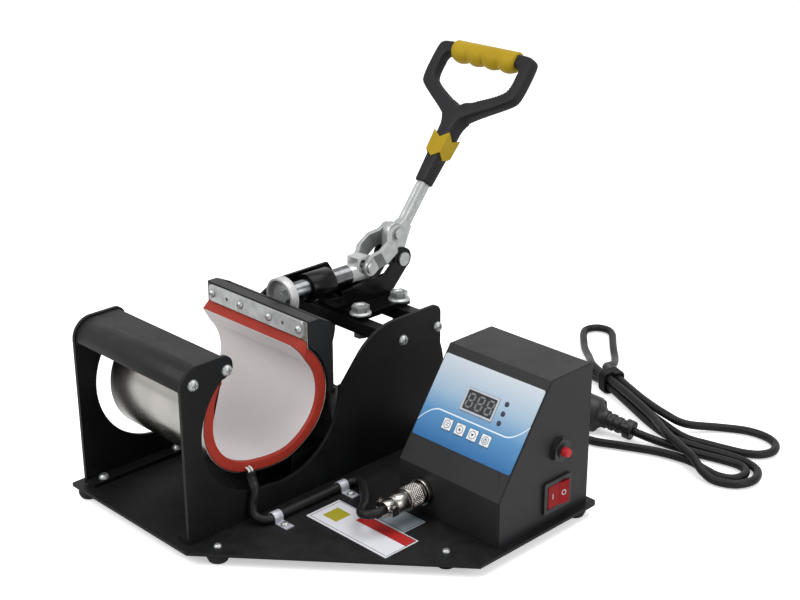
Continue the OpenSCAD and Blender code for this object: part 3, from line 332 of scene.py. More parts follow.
class Nodes:
    """Small helper that places and links shader nodes in one tree."""

    def __init__(self, tree: bpy.types.NodeTree) -> None:
        """Keeps the tree that is built in."""
        self.tree = tree

    def add(self, kind: str, inputs: dict | None = None, **settings: object) -> bpy.types.Node:
        """Places a node, sets it up and joins its inputs.

        Args:
            kind: Blender's name for the node type.
            inputs: Values or sockets by the input's name or number.
            settings: Properties of the node itself.

        Returns:
            The new node.
        """
        node = self.tree.nodes.new(kind)
        for key, value in settings.items():
            setattr(node, key, value)
        for key, value in (inputs or {}).items():
            if isinstance(value, bpy.types.NodeSocket):
                self.tree.links.new(value, node.inputs[key])
            else:
                node.inputs[key].default_value = value
        return node

    def math(self, operation: str, a: object, b: object = 0.0, clamp: bool = False) -> bpy.types.NodeSocket:
        """Result of one sum on two values or sockets."""
        return self.add("ShaderNodeMath", {0: a, 1: b}, operation=operation, use_clamp=clamp).outputs[0]

    def span(self, value: object, low: float = 0.0, high: float = 1.0, first: float = 0.0, last: float = 1.0,
             smooth: bool = False) -> bpy.types.NodeSocket:
        """Value carried from one range to another and held at both ends.

        Args:
            value: Socket to carry over.
            low: Value that becomes first.
            high: Value that becomes last.
            first: Result at and below low.
            last: Result at and above high.
            smooth: Eases in and out.

        Returns:
            The result's socket.
        """
        kind = "SMOOTHSTEP" if smooth else "LINEAR"
        ranges = {0: value, 1: low, 2: high, 3: first, 4: last}
        return self.add("ShaderNodeMapRange", ranges, interpolation_type=kind).outputs[0]

    def mix(self, share: object, a: object, b: object, blend: str = "MIX") -> bpy.types.NodeSocket:
        """Colour between a and b.

        Args:
            share: Value or socket: nought gives a, one gives b.
            a: Colour or socket.
            b: Colour or socket.
            blend: Blender's name for the way of mixing.

        Returns:
            The colour's socket.
        """
        a, b = ((*value, 1.0) if isinstance(value, tuple) else value for value in (a, b))
        return self.add("ShaderNodeMix", {0: share, 6: a, 7: b}, data_type="RGBA", blend_type=blend).outputs[2]

    def place(self) -> bpy.types.NodeSocket:
        """Object coordinates of the surface."""
        return self.add("ShaderNodeTexCoord").outputs["Object"]

    def dot(self, vector: bpy.types.NodeSocket, along: Point) -> bpy.types.NodeSocket:
        """Distance along a direction."""
        return self.add("ShaderNodeVectorMath", {0: vector, 1: along}, operation="DOT_PRODUCT").outputs["Value"]

    def group(self, tree: bpy.types.NodeTree, **values: object) -> bpy.types.NodeSocket:
        """Places a shared effect with its own values and gives its result."""
        return self.add("ShaderNodeGroup", values, node_tree=tree).outputs[0]


class Effects:
    """Shared effects, each a node group that is built once."""

    def __init__(self) -> None:
        """Builds every group."""
        self.grain = self._grain()
        self.mottle = self._mottle()
        self.dust = self._dust()
        self.scuff = self._scuff()

    @staticmethod
    def _tree(name: str, inputs: dict[str, object], output: str) -> tuple:
        """Starts a group with its sockets.

        Args:
            name: Name of the group.
            inputs: Default value of each input by name.
            output: Name of the output, a plain value.

        Returns:
            The tree, its node helper, its inputs and its output.
        """
        tree = bpy.data.node_groups.new(name, "ShaderNodeTree")
        for key, value in inputs.items():
            kind = "NodeSocketVector" if isinstance(value, tuple) else "NodeSocketFloat"
            tree.interface.new_socket(key, in_out="INPUT", socket_type=kind).default_value = value
        tree.interface.new_socket(output, in_out="OUTPUT", socket_type="NodeSocketFloat")
        n = Nodes(tree)
        return tree, n, n.add("NodeGroupInput").outputs, n.add("NodeGroupOutput").inputs[output]

    def _grain(self) -> bpy.types.NodeTree:
        """Fine noise, drawn out where Stretch is small: pebble of a coat or lines of a brush.

        Returns:
            The group.
        """
        tree, n, given, height = self._tree("fine_grain", {"Scale": 1500.0, "Stretch": (1.0, 1.0, 1.0)}, "Height")
        at = n.add("ShaderNodeVectorMath", {0: n.place(), 1: given["Stretch"]}, operation="MULTIPLY").outputs[0]
        noise = n.add("ShaderNodeTexNoise", {"Vector": at, "Scale": given["Scale"], "Detail": 2.0})
        tree.links.new(noise.outputs["Fac"], height)
        return tree

    def _mottle(self) -> bpy.types.NodeTree:
        """Broad cloudy patches, spread out to run from nought to one.

        Returns:
            The group.
        """
        tree, n, given, mask = self._tree("mottle", {"Scale": 30.0}, "Mask")
        noise = n.add("ShaderNodeTexNoise", {"Vector": n.place(), "Scale": given["Scale"], "Detail": 4.0})
        tree.links.new(n.span(noise.outputs["Fac"], low=0.32, high=0.68), mask)
        return tree

    def _dust(self) -> bpy.types.NodeTree:
        """Thin dust that lies where the surface faces up, broken by noise.

        Returns:
            The group.
        """
        tree, n, given, mask = self._tree("dust", {"Amount": 0.1, "Scale": 90.0}, "Mask")
        split = n.add("ShaderNodeSeparateXYZ", {0: n.add("ShaderNodeNewGeometry").outputs["Normal"]})
        facing = n.math("POWER", n.math("MAXIMUM", split.outputs["Z"], 0.0), 3.0)
        noise = n.add("ShaderNodeTexNoise", {"Vector": n.place(), "Scale": given["Scale"], "Detail": 5.0})
        patch = n.span(noise.outputs["Fac"], low=0.35, high=0.75)
        tree.links.new(n.math("MULTIPLY", n.math("MULTIPLY", facing, patch), given["Amount"], clamp=True), mask)
        return tree

    def _scuff(self) -> bpy.types.NodeTree:
        """Sparse short rubs: the peaks of a drawn-out noise.

        Returns:
            The group.
        """
        tree, n, given, mask = self._tree("scuff", {"Scale": 160.0, "Level": 0.68, "Gain": 9.0}, "Mask")
        turn = n.add("ShaderNodeMapping", {"Vector": n.place(), "Rotation": (0.4, 0.9, 0.6), "Scale": (1.0, 0.16, 0.5)})
        noise = n.add("ShaderNodeTexNoise", {"Vector": turn.outputs[0], "Scale": given["Scale"], "Detail": 3.0})
        above = n.math("SUBTRACT", noise.outputs["Fac"], given["Level"])
        tree.links.new(n.math("MULTIPLY", above, given["Gain"], clamp=True), mask)
        return tree


@dataclass(frozen=True)
class Finish:
    """One surface: colour and its drift, shine, grain, dust and rubs."""

    name: str
    colour: Colour
    drift: Colour
    rough: float
    metal: float = 0.0
    rough_spread: float = 0.06
    patch: float = 30.0
    grain: float = 1500.0
    depth: float = 0.00002
    lines: Grain = Grain.NONE
    dust: float = 0.0
    rub: Colour | None = None
    specular: float = 0.5

    def begin(self, effects: Effects) -> tuple:
        """Makes the material with its grain and shine.

        Args:
            effects: Shared node groups.

        Returns:
            The material, its node helper, its shader node and its plain colour socket.
        """
        material = bpy.data.materials.new(self.name)
        material.use_nodes = True
        n = Nodes(material.node_tree)
        shader = material.node_tree.nodes["Principled BSDF"]
        shader.inputs["Metallic"].default_value = self.metal
        shader.inputs["Specular IOR Level"].default_value = self.specular
        patches = n.group(effects.mottle, Scale=self.patch)
        colour = n.mix(patches, self.colour, self.drift)
        rough = n.span(patches, first=self.rough - self.rough_spread, last=self.rough + self.rough_spread)
        height = n.group(effects.grain, Scale=self.grain, Stretch=self.lines.value)
        bump = n.add("ShaderNodeBump", {"Height": height, "Strength": GRAIN_STRENGTH, "Distance": self.depth})
        n.tree.links.new(bump.outputs[0], shader.inputs["Normal"])
        n.tree.links.new(rough, shader.inputs["Roughness"])
        return material, n, shader, colour

    def build(self, effects: Effects) -> bpy.types.Material:
        """Whole material with its rubs and dust.

        Args:
            effects: Shared node groups.

        Returns:
            The material.
        """
        material, n, shader, colour = self.begin(effects)
        if self.rub:
            colour = n.mix(n.group(effects.scuff), colour, self.rub)
        if self.dust:
            colour = n.mix(n.group(effects.dust, Amount=self.dust), colour, DUST_GREY)
        n.tree.links.new(colour, shader.inputs["Base Color"])
        return material


FINISHES: dict[str, Finish] = {
    f.name: f
    for f in (
        Finish("powder_black", (0.0042, 0.0044, 0.0048), (0.006, 0.0062, 0.0068), 0.46, rough_spread=0.05,
               grain=900.0, depth=0.00006, dust=0.015, rub=(0.015, 0.0155, 0.0165), specular=0.15),
        Finish("powder_satin", (0.0105, 0.0108, 0.0118), (0.0135, 0.0138, 0.015), 0.44, rough_spread=0.05,
               grain=900.0, depth=0.00005, dust=0.02, rub=(0.022, 0.0225, 0.024), specular=0.2),
        Finish("foot_rubber", (0.008, 0.008, 0.008), (0.013, 0.013, 0.013), 0.8, dust=0.1, specular=0.25),
        Finish("clamp_black", (0.0022, 0.0023, 0.0026), (0.0034, 0.0035, 0.0038), 0.24, grain=900.0, depth=0.00003,
               rub=(0.008, 0.0083, 0.009), specular=0.13),
        Finish("hood_black", (0.0075, 0.0077, 0.0084), (0.0095, 0.0097, 0.0105), 0.45, rough_spread=0.05,
               grain=900.0, depth=0.00005, dust=0.018, rub=(0.02, 0.0205, 0.022), specular=0.17),
        Finish("zinc", (0.42, 0.428, 0.426), (0.33, 0.342, 0.343), 0.38, metal=0.72, rough_spread=0.08, patch=150.0,
               grain=700.0),
        # cup_zinc: lighter, less metallic copy of the zinc, painted light that lifts the shaded inside of the pressure
        # cup.
        Finish("cup_zinc", (0.5, 0.505, 0.5), (0.4, 0.405, 0.4), 0.42, metal=0.35, rough_spread=0.08, patch=120.0,
               grain=700.0),
        Finish("chrome", (0.085, 0.088, 0.092), (0.17, 0.173, 0.178), 0.2, metal=1.0, patch=90.0, grain=1200.0,
               depth=0.00003, lines=Grain.ALONG_Y),
        Finish("band_steel", (0.43, 0.415, 0.385), (0.36, 0.35, 0.325), 0.22, metal=1.0, lines=Grain.ALONG_X,
               grain=1800.0),
        Finish("silicone_red", (0.32, 0.027, 0.014), (0.26, 0.02, 0.011), 0.55, grain=1100.0, specular=0.22),
        Finish("cable_black", (0.0045, 0.0045, 0.005), (0.0075, 0.0075, 0.008), 0.42, grain=800.0, dust=0.015,
               specular=0.18),
        Finish("lead_white", (0.7, 0.69, 0.66), (0.62, 0.61, 0.58), 0.5, grain=1100.0),
        Finish("nickel", (0.33, 0.314, 0.288), (0.25, 0.238, 0.222), 0.22, metal=1.0, patch=120.0),
        Finish("display_dark", (0.02, 0.023, 0.027), (0.025, 0.028, 0.032), 0.22, depth=0.000001, specular=0.2),
        Finish("bezel_grey", (0.42, 0.45, 0.48), (0.37, 0.4, 0.43), 0.4),
        Finish("digit_grey", (0.17, 0.178, 0.183), (0.14, 0.147, 0.152), 0.4, specular=0.3),
        Finish("clip_zinc", (0.44, 0.447, 0.495), (0.38, 0.386, 0.43), 0.55, metal=0.5, patch=150.0, grain=700.0),
        Finish("lamp_blue", (0.01, 0.016, 0.04), (0.012, 0.02, 0.05), 0.25, depth=0.000001, specular=0.4),
        Finish("board_green", (0.02, 0.11, 0.05), (0.016, 0.09, 0.04), 0.45),
        Finish("key_silver", (0.62, 0.64, 0.66), (0.56, 0.58, 0.6), 0.36, metal=0.35),
        Finish("switch_black", (0.008, 0.008, 0.0085), (0.012, 0.012, 0.0125), 0.38, specular=0.3),
        Finish("switch_red", (0.23, 0.004, 0.005), (0.19, 0.0035, 0.0045), 0.36, specular=0.1),
        Finish("button_red", (0.45, 0.012, 0.018), (0.38, 0.01, 0.015), 0.36, specular=0.2),
        Finish("grip_charcoal", (0.0075, 0.0075, 0.0085), (0.0105, 0.0105, 0.012), 0.5, grain=1300.0, depth=0.00004,
               dust=0.015, rub=(0.022, 0.022, 0.024), specular=0.17),
        Finish("grip_yellow", (0.35, 0.233, 0.005), (0.3, 0.198, 0.0045), 0.5, grain=1200.0, rub=(0.42, 0.3, 0.025),
               specular=0.18),
    )
}


# Camera, floor and light


@dataclass(frozen=True)
class Viewpoint:
    """Camera at the photograph's place and angle."""

    place: Point = (0.7708, -0.7521, 0.5814)
    azimuth: float = 45.449
    elevation: float = 21.673
    roll: float = -0.117
    lens: float = 67.63
    sensor: float = 36.0

    def build(self) -> None:
        """Makes the camera and hands it to the scene."""
        az, el = math.radians(self.azimuth), math.radians(self.elevation)
        back = Vector((math.sin(az) * math.cos(el), -math.cos(az) * math.cos(el), math.sin(el)))
        right = Vector((math.cos(az), math.sin(az), 0.0))
        level = Matrix((right, back.cross(right), back)).transposed()
        turn = level @ Matrix.Rotation(math.radians(self.roll), 3, "Z")
        data = bpy.data.cameras.new("photo_view")
        data.sensor_width, data.lens = self.sensor, self.lens
        camera = bpy.data.objects.new("photo_view", data)
        camera.matrix_world = Matrix.Translation(self.place) @ turn.to_4x4()
        bpy.context.scene.collection.objects.link(camera)
        bpy.context.scene.camera = camera


@dataclass(frozen=True)
class SoftBox:
    """One square studio lamp that faces the machine."""

    name: str
    place: Point
    side: float
    power: float
    aim: Point = (0.0, 0.0, 0.12)

    def build(self) -> None:
        """Makes the lamp, turned toward the middle of the machine."""
        data = bpy.data.lights.new(self.name, "AREA")
        data.size, data.energy = self.side, self.power
        lamp = bpy.data.objects.new(self.name, data)
        lamp.location = self.place
        lamp.rotation_euler = (Vector(self.aim) - Vector(self.place)).to_track_quat("-Z", "Y").to_euler()
        bpy.context.scene.collection.objects.link(lamp)


@dataclass
class Studio:
    """White floor, pale surroundings and soft lamps."""

    floor_side: float = 9.0
    floor_level: float = -0.0004
    floor_white: float = 0.93
    floor_rough: float = 0.9
    floor_lift: float = 0.45
    ambient: float = 0.5
    lamps: tuple[SoftBox, ...] = (
        SoftBox("key_box", (-0.5, -1.5, 1.7), 1.1, 26.0),
        SoftBox("top_box", (0.3, 0.5, 2.0), 1.5, 24.0),
        SoftBox("side_box", (1.9, 0.1, 0.9), 1.0, 12.0),
    )

    def build(self) -> None:
        """Makes the world, the floor and the lamps."""
        bpy.context.scene.view_settings.view_transform = "Standard"
        world = bpy.data.worlds.new("studio")
        world.use_nodes = True
        bpy.context.scene.world = world
        self._lift(Nodes(world.node_tree), world.node_tree.nodes["Background"])
        line = np.linspace(-self.floor_side / 2, self.floor_side / 2, 3)
        grid = np.stack(np.broadcast_arrays(line[:, None], line[None, :], np.float64(self.floor_level)), -1)
        floor = Shape().surface(grid).build("floor")
        floor.data.flip_normals()
        floor.data.materials.append(self._floor_finish())
        floor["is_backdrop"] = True
        for lamp in self.lamps:
            lamp.build()

    def _lift(self, n: Nodes, background: bpy.types.Node) -> None:
        """Shows white to the camera, to gloss and through glass, and the plain level to all else.

        Args:
            n: Node helper of the world.
            background: World's background node.
        """
        path = n.add("ShaderNodeLightPath").outputs
        mirrored = n.math("MAXIMUM", path["Is Glossy Ray"], path["Is Transmission Ray"])
        seen = n.math("MAXIMUM", path["Is Camera Ray"], mirrored)
        n.tree.links.new(n.span(seen, first=self.ambient, last=1.0), background.inputs["Strength"])
        background.inputs["Color"].default_value = (1.0, 1.0, 1.0, 1.0)

    def _floor_finish(self) -> bpy.types.Material:
        """Matt white that lifts its own brightness a little for the camera.

        Returns:
            The material.
        """
        material = bpy.data.materials.new("floor_white")
        material.use_nodes = True
        n = Nodes(material.node_tree)
        shader = material.node_tree.nodes["Principled BSDF"]
        shader.inputs["Base Color"].default_value = (self.floor_white,) * 3 + (1.0,)
        shader.inputs["Roughness"].default_value = self.floor_rough
        shader.inputs["Specular IOR Level"].default_value = 0.0
        shader.inputs["Emission Color"].default_value = (1.0, 1.0, 1.0, 1.0)
        seen = n.add("ShaderNodeLightPath").outputs["Is Camera Ray"]
        n.tree.links.new(n.math("MULTIPLY", seen, self.floor_lift), shader.inputs["Emission Strength"])
        return material


# Sub-assemblies


class Bench:
    """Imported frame, finishes and shared effects that every sub-assembly works with."""

    def __init__(self) -> None:
        """Loads the frame and builds each finish."""
        self.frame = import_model()
        self.cad_box = [list(map(float, corner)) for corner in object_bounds()]
        self.effects = Effects()
        self.finishes = {name: finish.build(self.effects) for name, finish in FINISHES.items()}
        self.slots = {p["node"]: p["material_slot"] for p in self.frame["record"]["subparts"]}

    def paint(self, piece: bpy.types.Object, slot: str, material: bpy.types.Material | None = None) -> None:
        """Gives a piece its finish: the slot's own, unless another is given.

        Args:
            piece: Object to dress.
            slot: Slot in the record.
            material: Own finish, where it isn't the slot's.
        """
        piece.data.materials.clear()
        piece.data.materials.append(material or self.finishes[slot])
        LOG.info("%s: %d faces, %s", piece.name, len(piece.data.polygons), slot)

    def seat(self, piece: bpy.types.Object, slot: str, body: str, *nodes: str,
             material: bpy.types.Material | None = None) -> bpy.types.Object:
        """Dresses a new piece, rides it on a body and lets it stand for CAD nodes.

        Args:
            piece: New object.
            slot: Slot in the record.
            body: Body that carries it.
            nodes: CAD nodes that it stands for.
            material: Own finish, where it isn't the slot's.

        Returns:
            The piece.
        """
        self.paint(piece, slot, material)
        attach(piece, body)
        if nodes:
            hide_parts(*nodes)
        return piece


@dataclass
class MainsCord:
    """Mains lead: out of the gland, into a tied hank on the floor, to its plug."""

    diameter: float = 7.0
    sides: int = 20
    steps: int = 6
    tie_wire: float = 3.0
    tie_sides: int = 10
    tie_place: Point = (180.0, 454.0, 10.85)
    tie_turn: float = -22.0
    tie_half: float = 9.2
    tie_power: int = 5
    tie_degrees: float = 1180.0
    tie_step: float = 6.0
    tie_start: float = -5.6
    tie_pitch: float = 3.4
    route: tuple = (
        (252, 277, 31), (252, 290, 31), (247, 306, 25), (228, 322, 12), (195, 338, 4.3), (156, 366, 4), (131, 398, 4),
        (123, 420, 4), (121, 440, 4), (124, 456, 4), (134, 468.6, 4.2), (153.4, 470.2, 5), (170.5, 462, 7),
        (181.5, 457.6, 7), (192.5, 453, 7), (225, 440, 4.7), (255, 428.5, 4), (285, 419, 4), (308, 422.5, 4),
        (325, 426.5, 4), (338, 430.5, 4), (348.5, 438, 4), (352.5, 450, 4), (347, 462, 4), (334, 468.5, 4),
        (316, 467, 4), (296, 456, 4), (276, 434, 8), (256, 430.5, 12.1), (225, 440, 13), (192.5, 453, 14.7),
        (181.5, 457.6, 14.7), (170.5, 462, 14.7), (161, 471, 13.4), (155, 490, 8), (142.5, 508.5, 4.3), (128, 525, 4),
        (116.5, 538.7, 4), (104, 553.5, 4), (94.2, 558.9, 4), (83.5, 556, 4), (79, 546.2, 4), (82.5, 536, 4),
        (95, 520.6, 4), (109, 505.3, 4.5), (130, 485, 8.8), (150, 465, 13.7), (167.5, 455, 14.7), (178.5, 450.4, 14.7),
        (189.5, 446, 14.7), (222, 432.5, 13.6), (252, 418.5, 12.4), (280, 401, 12.4), (308, 387, 12.4),
        (322, 380.5, 11.2), (334, 375.5, 6.4), (347, 373.5, 4), (362.6, 379.9, 4), (369, 395.5, 4), (362.6, 411.1, 4),
        (347, 417.5, 4), (328, 416.8, 4), (305, 412, 4), (280, 410.5, 4), (252, 419, 4), (222, 432.5, 4.7),
        (189.5, 446, 7), (178.5, 450.4, 7), (167.5, 455, 7), (158.5, 459, 5.2), (149, 462.4, 4.2), (137.7, 461.3, 4),
        (131.2, 453, 4), (132.4, 442.4, 4), (147.6, 416.4, 4), (174, 381, 4), (203, 360, 4), (232, 358, 4),
        (257, 369, 4), (286, 382, 4), (312, 387, 4), (330, 383.6, 4), (344, 381.5, 4), (354.9, 385.6, 4),
        (359, 395.5, 4), (354.9, 405.4, 4), (345, 409.3, 4), (330, 407, 4), (310, 402, 4), (290, 399.2, 4),
        (275, 395, 5.4), (263, 391.1, 7.6), (254.3, 389.2, 9.2), (248.5, 388, 10.2),
    )

    def build(self, bench: Bench) -> None:
        """Args:
            bench: Frame and finishes.
        """
        path = on_floor(smooth_route(self.route, self.steps))
        lead = Shape().bar(tube(path, self.diameter, self.sides, WAY_Z))
        cord = bench.seat(lead.build("mains_lead"), "cable_black", "frame", "power_cord")
        tie = bench.seat(self._tie().build("lead_tie"), "cable_black", "frame", "cord_tie")

    def _tie(self) -> Shape:
        """Wire wound round the hank: a superellipse that creeps along the hank as it turns.

        Returns:
            The shape.
        """
        a = np.radians(np.arange(0.0, self.tie_degrees + 1.0, self.tie_step))
        c, s = np.cos(a), np.sin(a)
        k = self.tie_half / (np.abs(c) ** self.tie_power + np.abs(s) ** self.tie_power) ** (1 / self.tie_power)
        local = np.stack([np.degrees(a) / 360.0 * self.tie_pitch + self.tie_start, k * c, k * s], 1)
        c, s = math.cos(math.radians(self.tie_turn)), math.sin(math.radians(self.tie_turn))
        wound = local @ np.array([[c, s, 0.0], [-s, c, 0.0], [0.0, 0.0, 1.0]]) + self.tie_place
        return Shape().bar(tube(on_floor(wound), self.tie_wire, self.tie_sides, (c, s, 0.0)))


@dataclass
class HeaterCable:
    """Two white leads out of the wrap's edge, and the cable that takes them through two clips to the connector."""

    diameter: float = 7.0
    sides: int = 20
    steps: int = 8
    guide: Point = (-0.55, 0.45, 0.7)
    lead_diameter: float = 1.8
    lead_sides: int = 12
    lead_steps: int = 6
    lead_middle: float = 70.0
    lead_apart: float = 1.35
    lead_route: tuple = ((133.6, 38.4), (135.9, 38.4), (138.0, 37.4), (138.6, 34.5))
    route: tuple = (
        (138.5, 70, 36.4), (138.9, 70, 32.4), (141.4, 69.4, 28.2), (145.1, 68, 24.8), (146.4, 66.3, 20),
        (146.4, 64.5, 13.5), (149, 63, 7), (155, 65, 4.2), (158.4, 70, 3.65), (158.5, 75, 3.65), (158.5, 81, 3.65),
        (158.5, 110, 3.65), (158.5, 137.5, 3.65), (158.5, 143, 3.65), (158.6, 148.5, 3.65), (159.6, 153.2, 4),
        (163.4, 156, 4.6), (168.7, 154.8, 5.4), (174.5, 151, 6.2), (181, 145.5, 7.2), (190.5, 137.5, 9),
        (199, 129.4, 11), (205, 122.5, 12.8), (211, 114.5, 14.6), (217.5, 109.5, 16.4), (224, 110.5, 17.8),
        (227, 116, 18.4), (227, 123, 18.4), (227, 131, 18.4),
    )

    def build(self, bench: Bench) -> None:
        """Makes the cable as one smooth tube, and the leads that go into its upper end.

        Args:
            bench: Frame and finishes.
        """
        path = on_base(smooth_route(self.route, self.steps))
        cable = Shape().bar(tube(path, self.diameter, self.sides, self.guide))
        bench.seat(cable.build("heater_lead_cable"), "cable_black", "frame", "heater_cable")
        leads = Shape()
        for side in (-self.lead_apart, self.lead_apart):
            line = np.insert(self.lead_route, 1, self.lead_middle + side, axis=1)
            path = on_base(smooth_route(line, self.lead_steps))
            leads.bar(tube(path, self.lead_diameter, self.lead_sides, WAY_Y))
        bench.seat(leads.build("heater_leads"), "silicone_red", "frame", "heater_lead",
                   material=bench.finishes["lead_white"])


@dataclass
class Connector:
    """Round metal connector's coupling nut with its diamond knurl."""

    centre: Pair = (227.0, 18.4)
    radius: float = 9.4
    bore: float = 8.2
    mouth: float = 7.0
    front: float = 143.9
    ledge: float = 146.2
    back: float = 158.0
    chamfer: float = 0.6
    rows: int = 56
    teeth: int = 30
    tooth_points: int = 8
    slant: float = 1.15
    narrow: int = 10
    depth: float = 0.42
    plain_front: float = 1.4
    plain_back: float = 2.6
    sharp: float = 50.0

    def build(self, bench: Bench) -> None:
        """Makes the nut: a closed profile spun about its axis, with two crossed sets of grooves cut into it.

        Args:
            bench: Frame and finishes.
        """
        rim = self.radius - self.chamfer
        length = np.linspace(self.front + self.chamfer, self.back - self.chamfer, self.rows)
        profile = np.concatenate([
            np.stack([np.full(self.rows, self.radius), length], 1),
            [(rim, self.back), (self.bore, self.back), (self.bore, self.ledge), (self.mouth, self.ledge),
             (self.mouth, self.front), (rim, self.front)],
        ])
        a = self.teeth / 2 * round_angles(self.teeth * self.tooth_points)
        y = profile[:, 1:]
        cut = np.maximum(*(np.cos(a + slant * y) ** self.narrow for slant in (self.slant, -self.slant)))
        within = np.arange(len(profile))[:, None] < self.rows
        within = within & (y > self.front + self.plain_front) & (y < self.back - self.plain_back)
        nut = Shape().loop(turned(profile, self.centre, -self.depth * cut * within))
        bench.seat(nut.build("knurled_nut", self.sharp), "nickel", "coupling_nut", "coupling_nut")


@dataclass(frozen=True)
class Tail:
    """Free end of one line of the wrap: angle where its arc stops, end point, and the point that it bends toward."""

    reach: float
    end: Pair
    bend: Pair | None = None


@dataclass(frozen=True)
class Layer:
    """One sheet of the wrap: names, radius of its edges and of one corner, and where its sides stop short."""

    piece: str
    slot: str
    node: str
    edge: float
    corner: float
    drawn: float
    bare_left: float = 0.0
    bare_right: float = 0.0


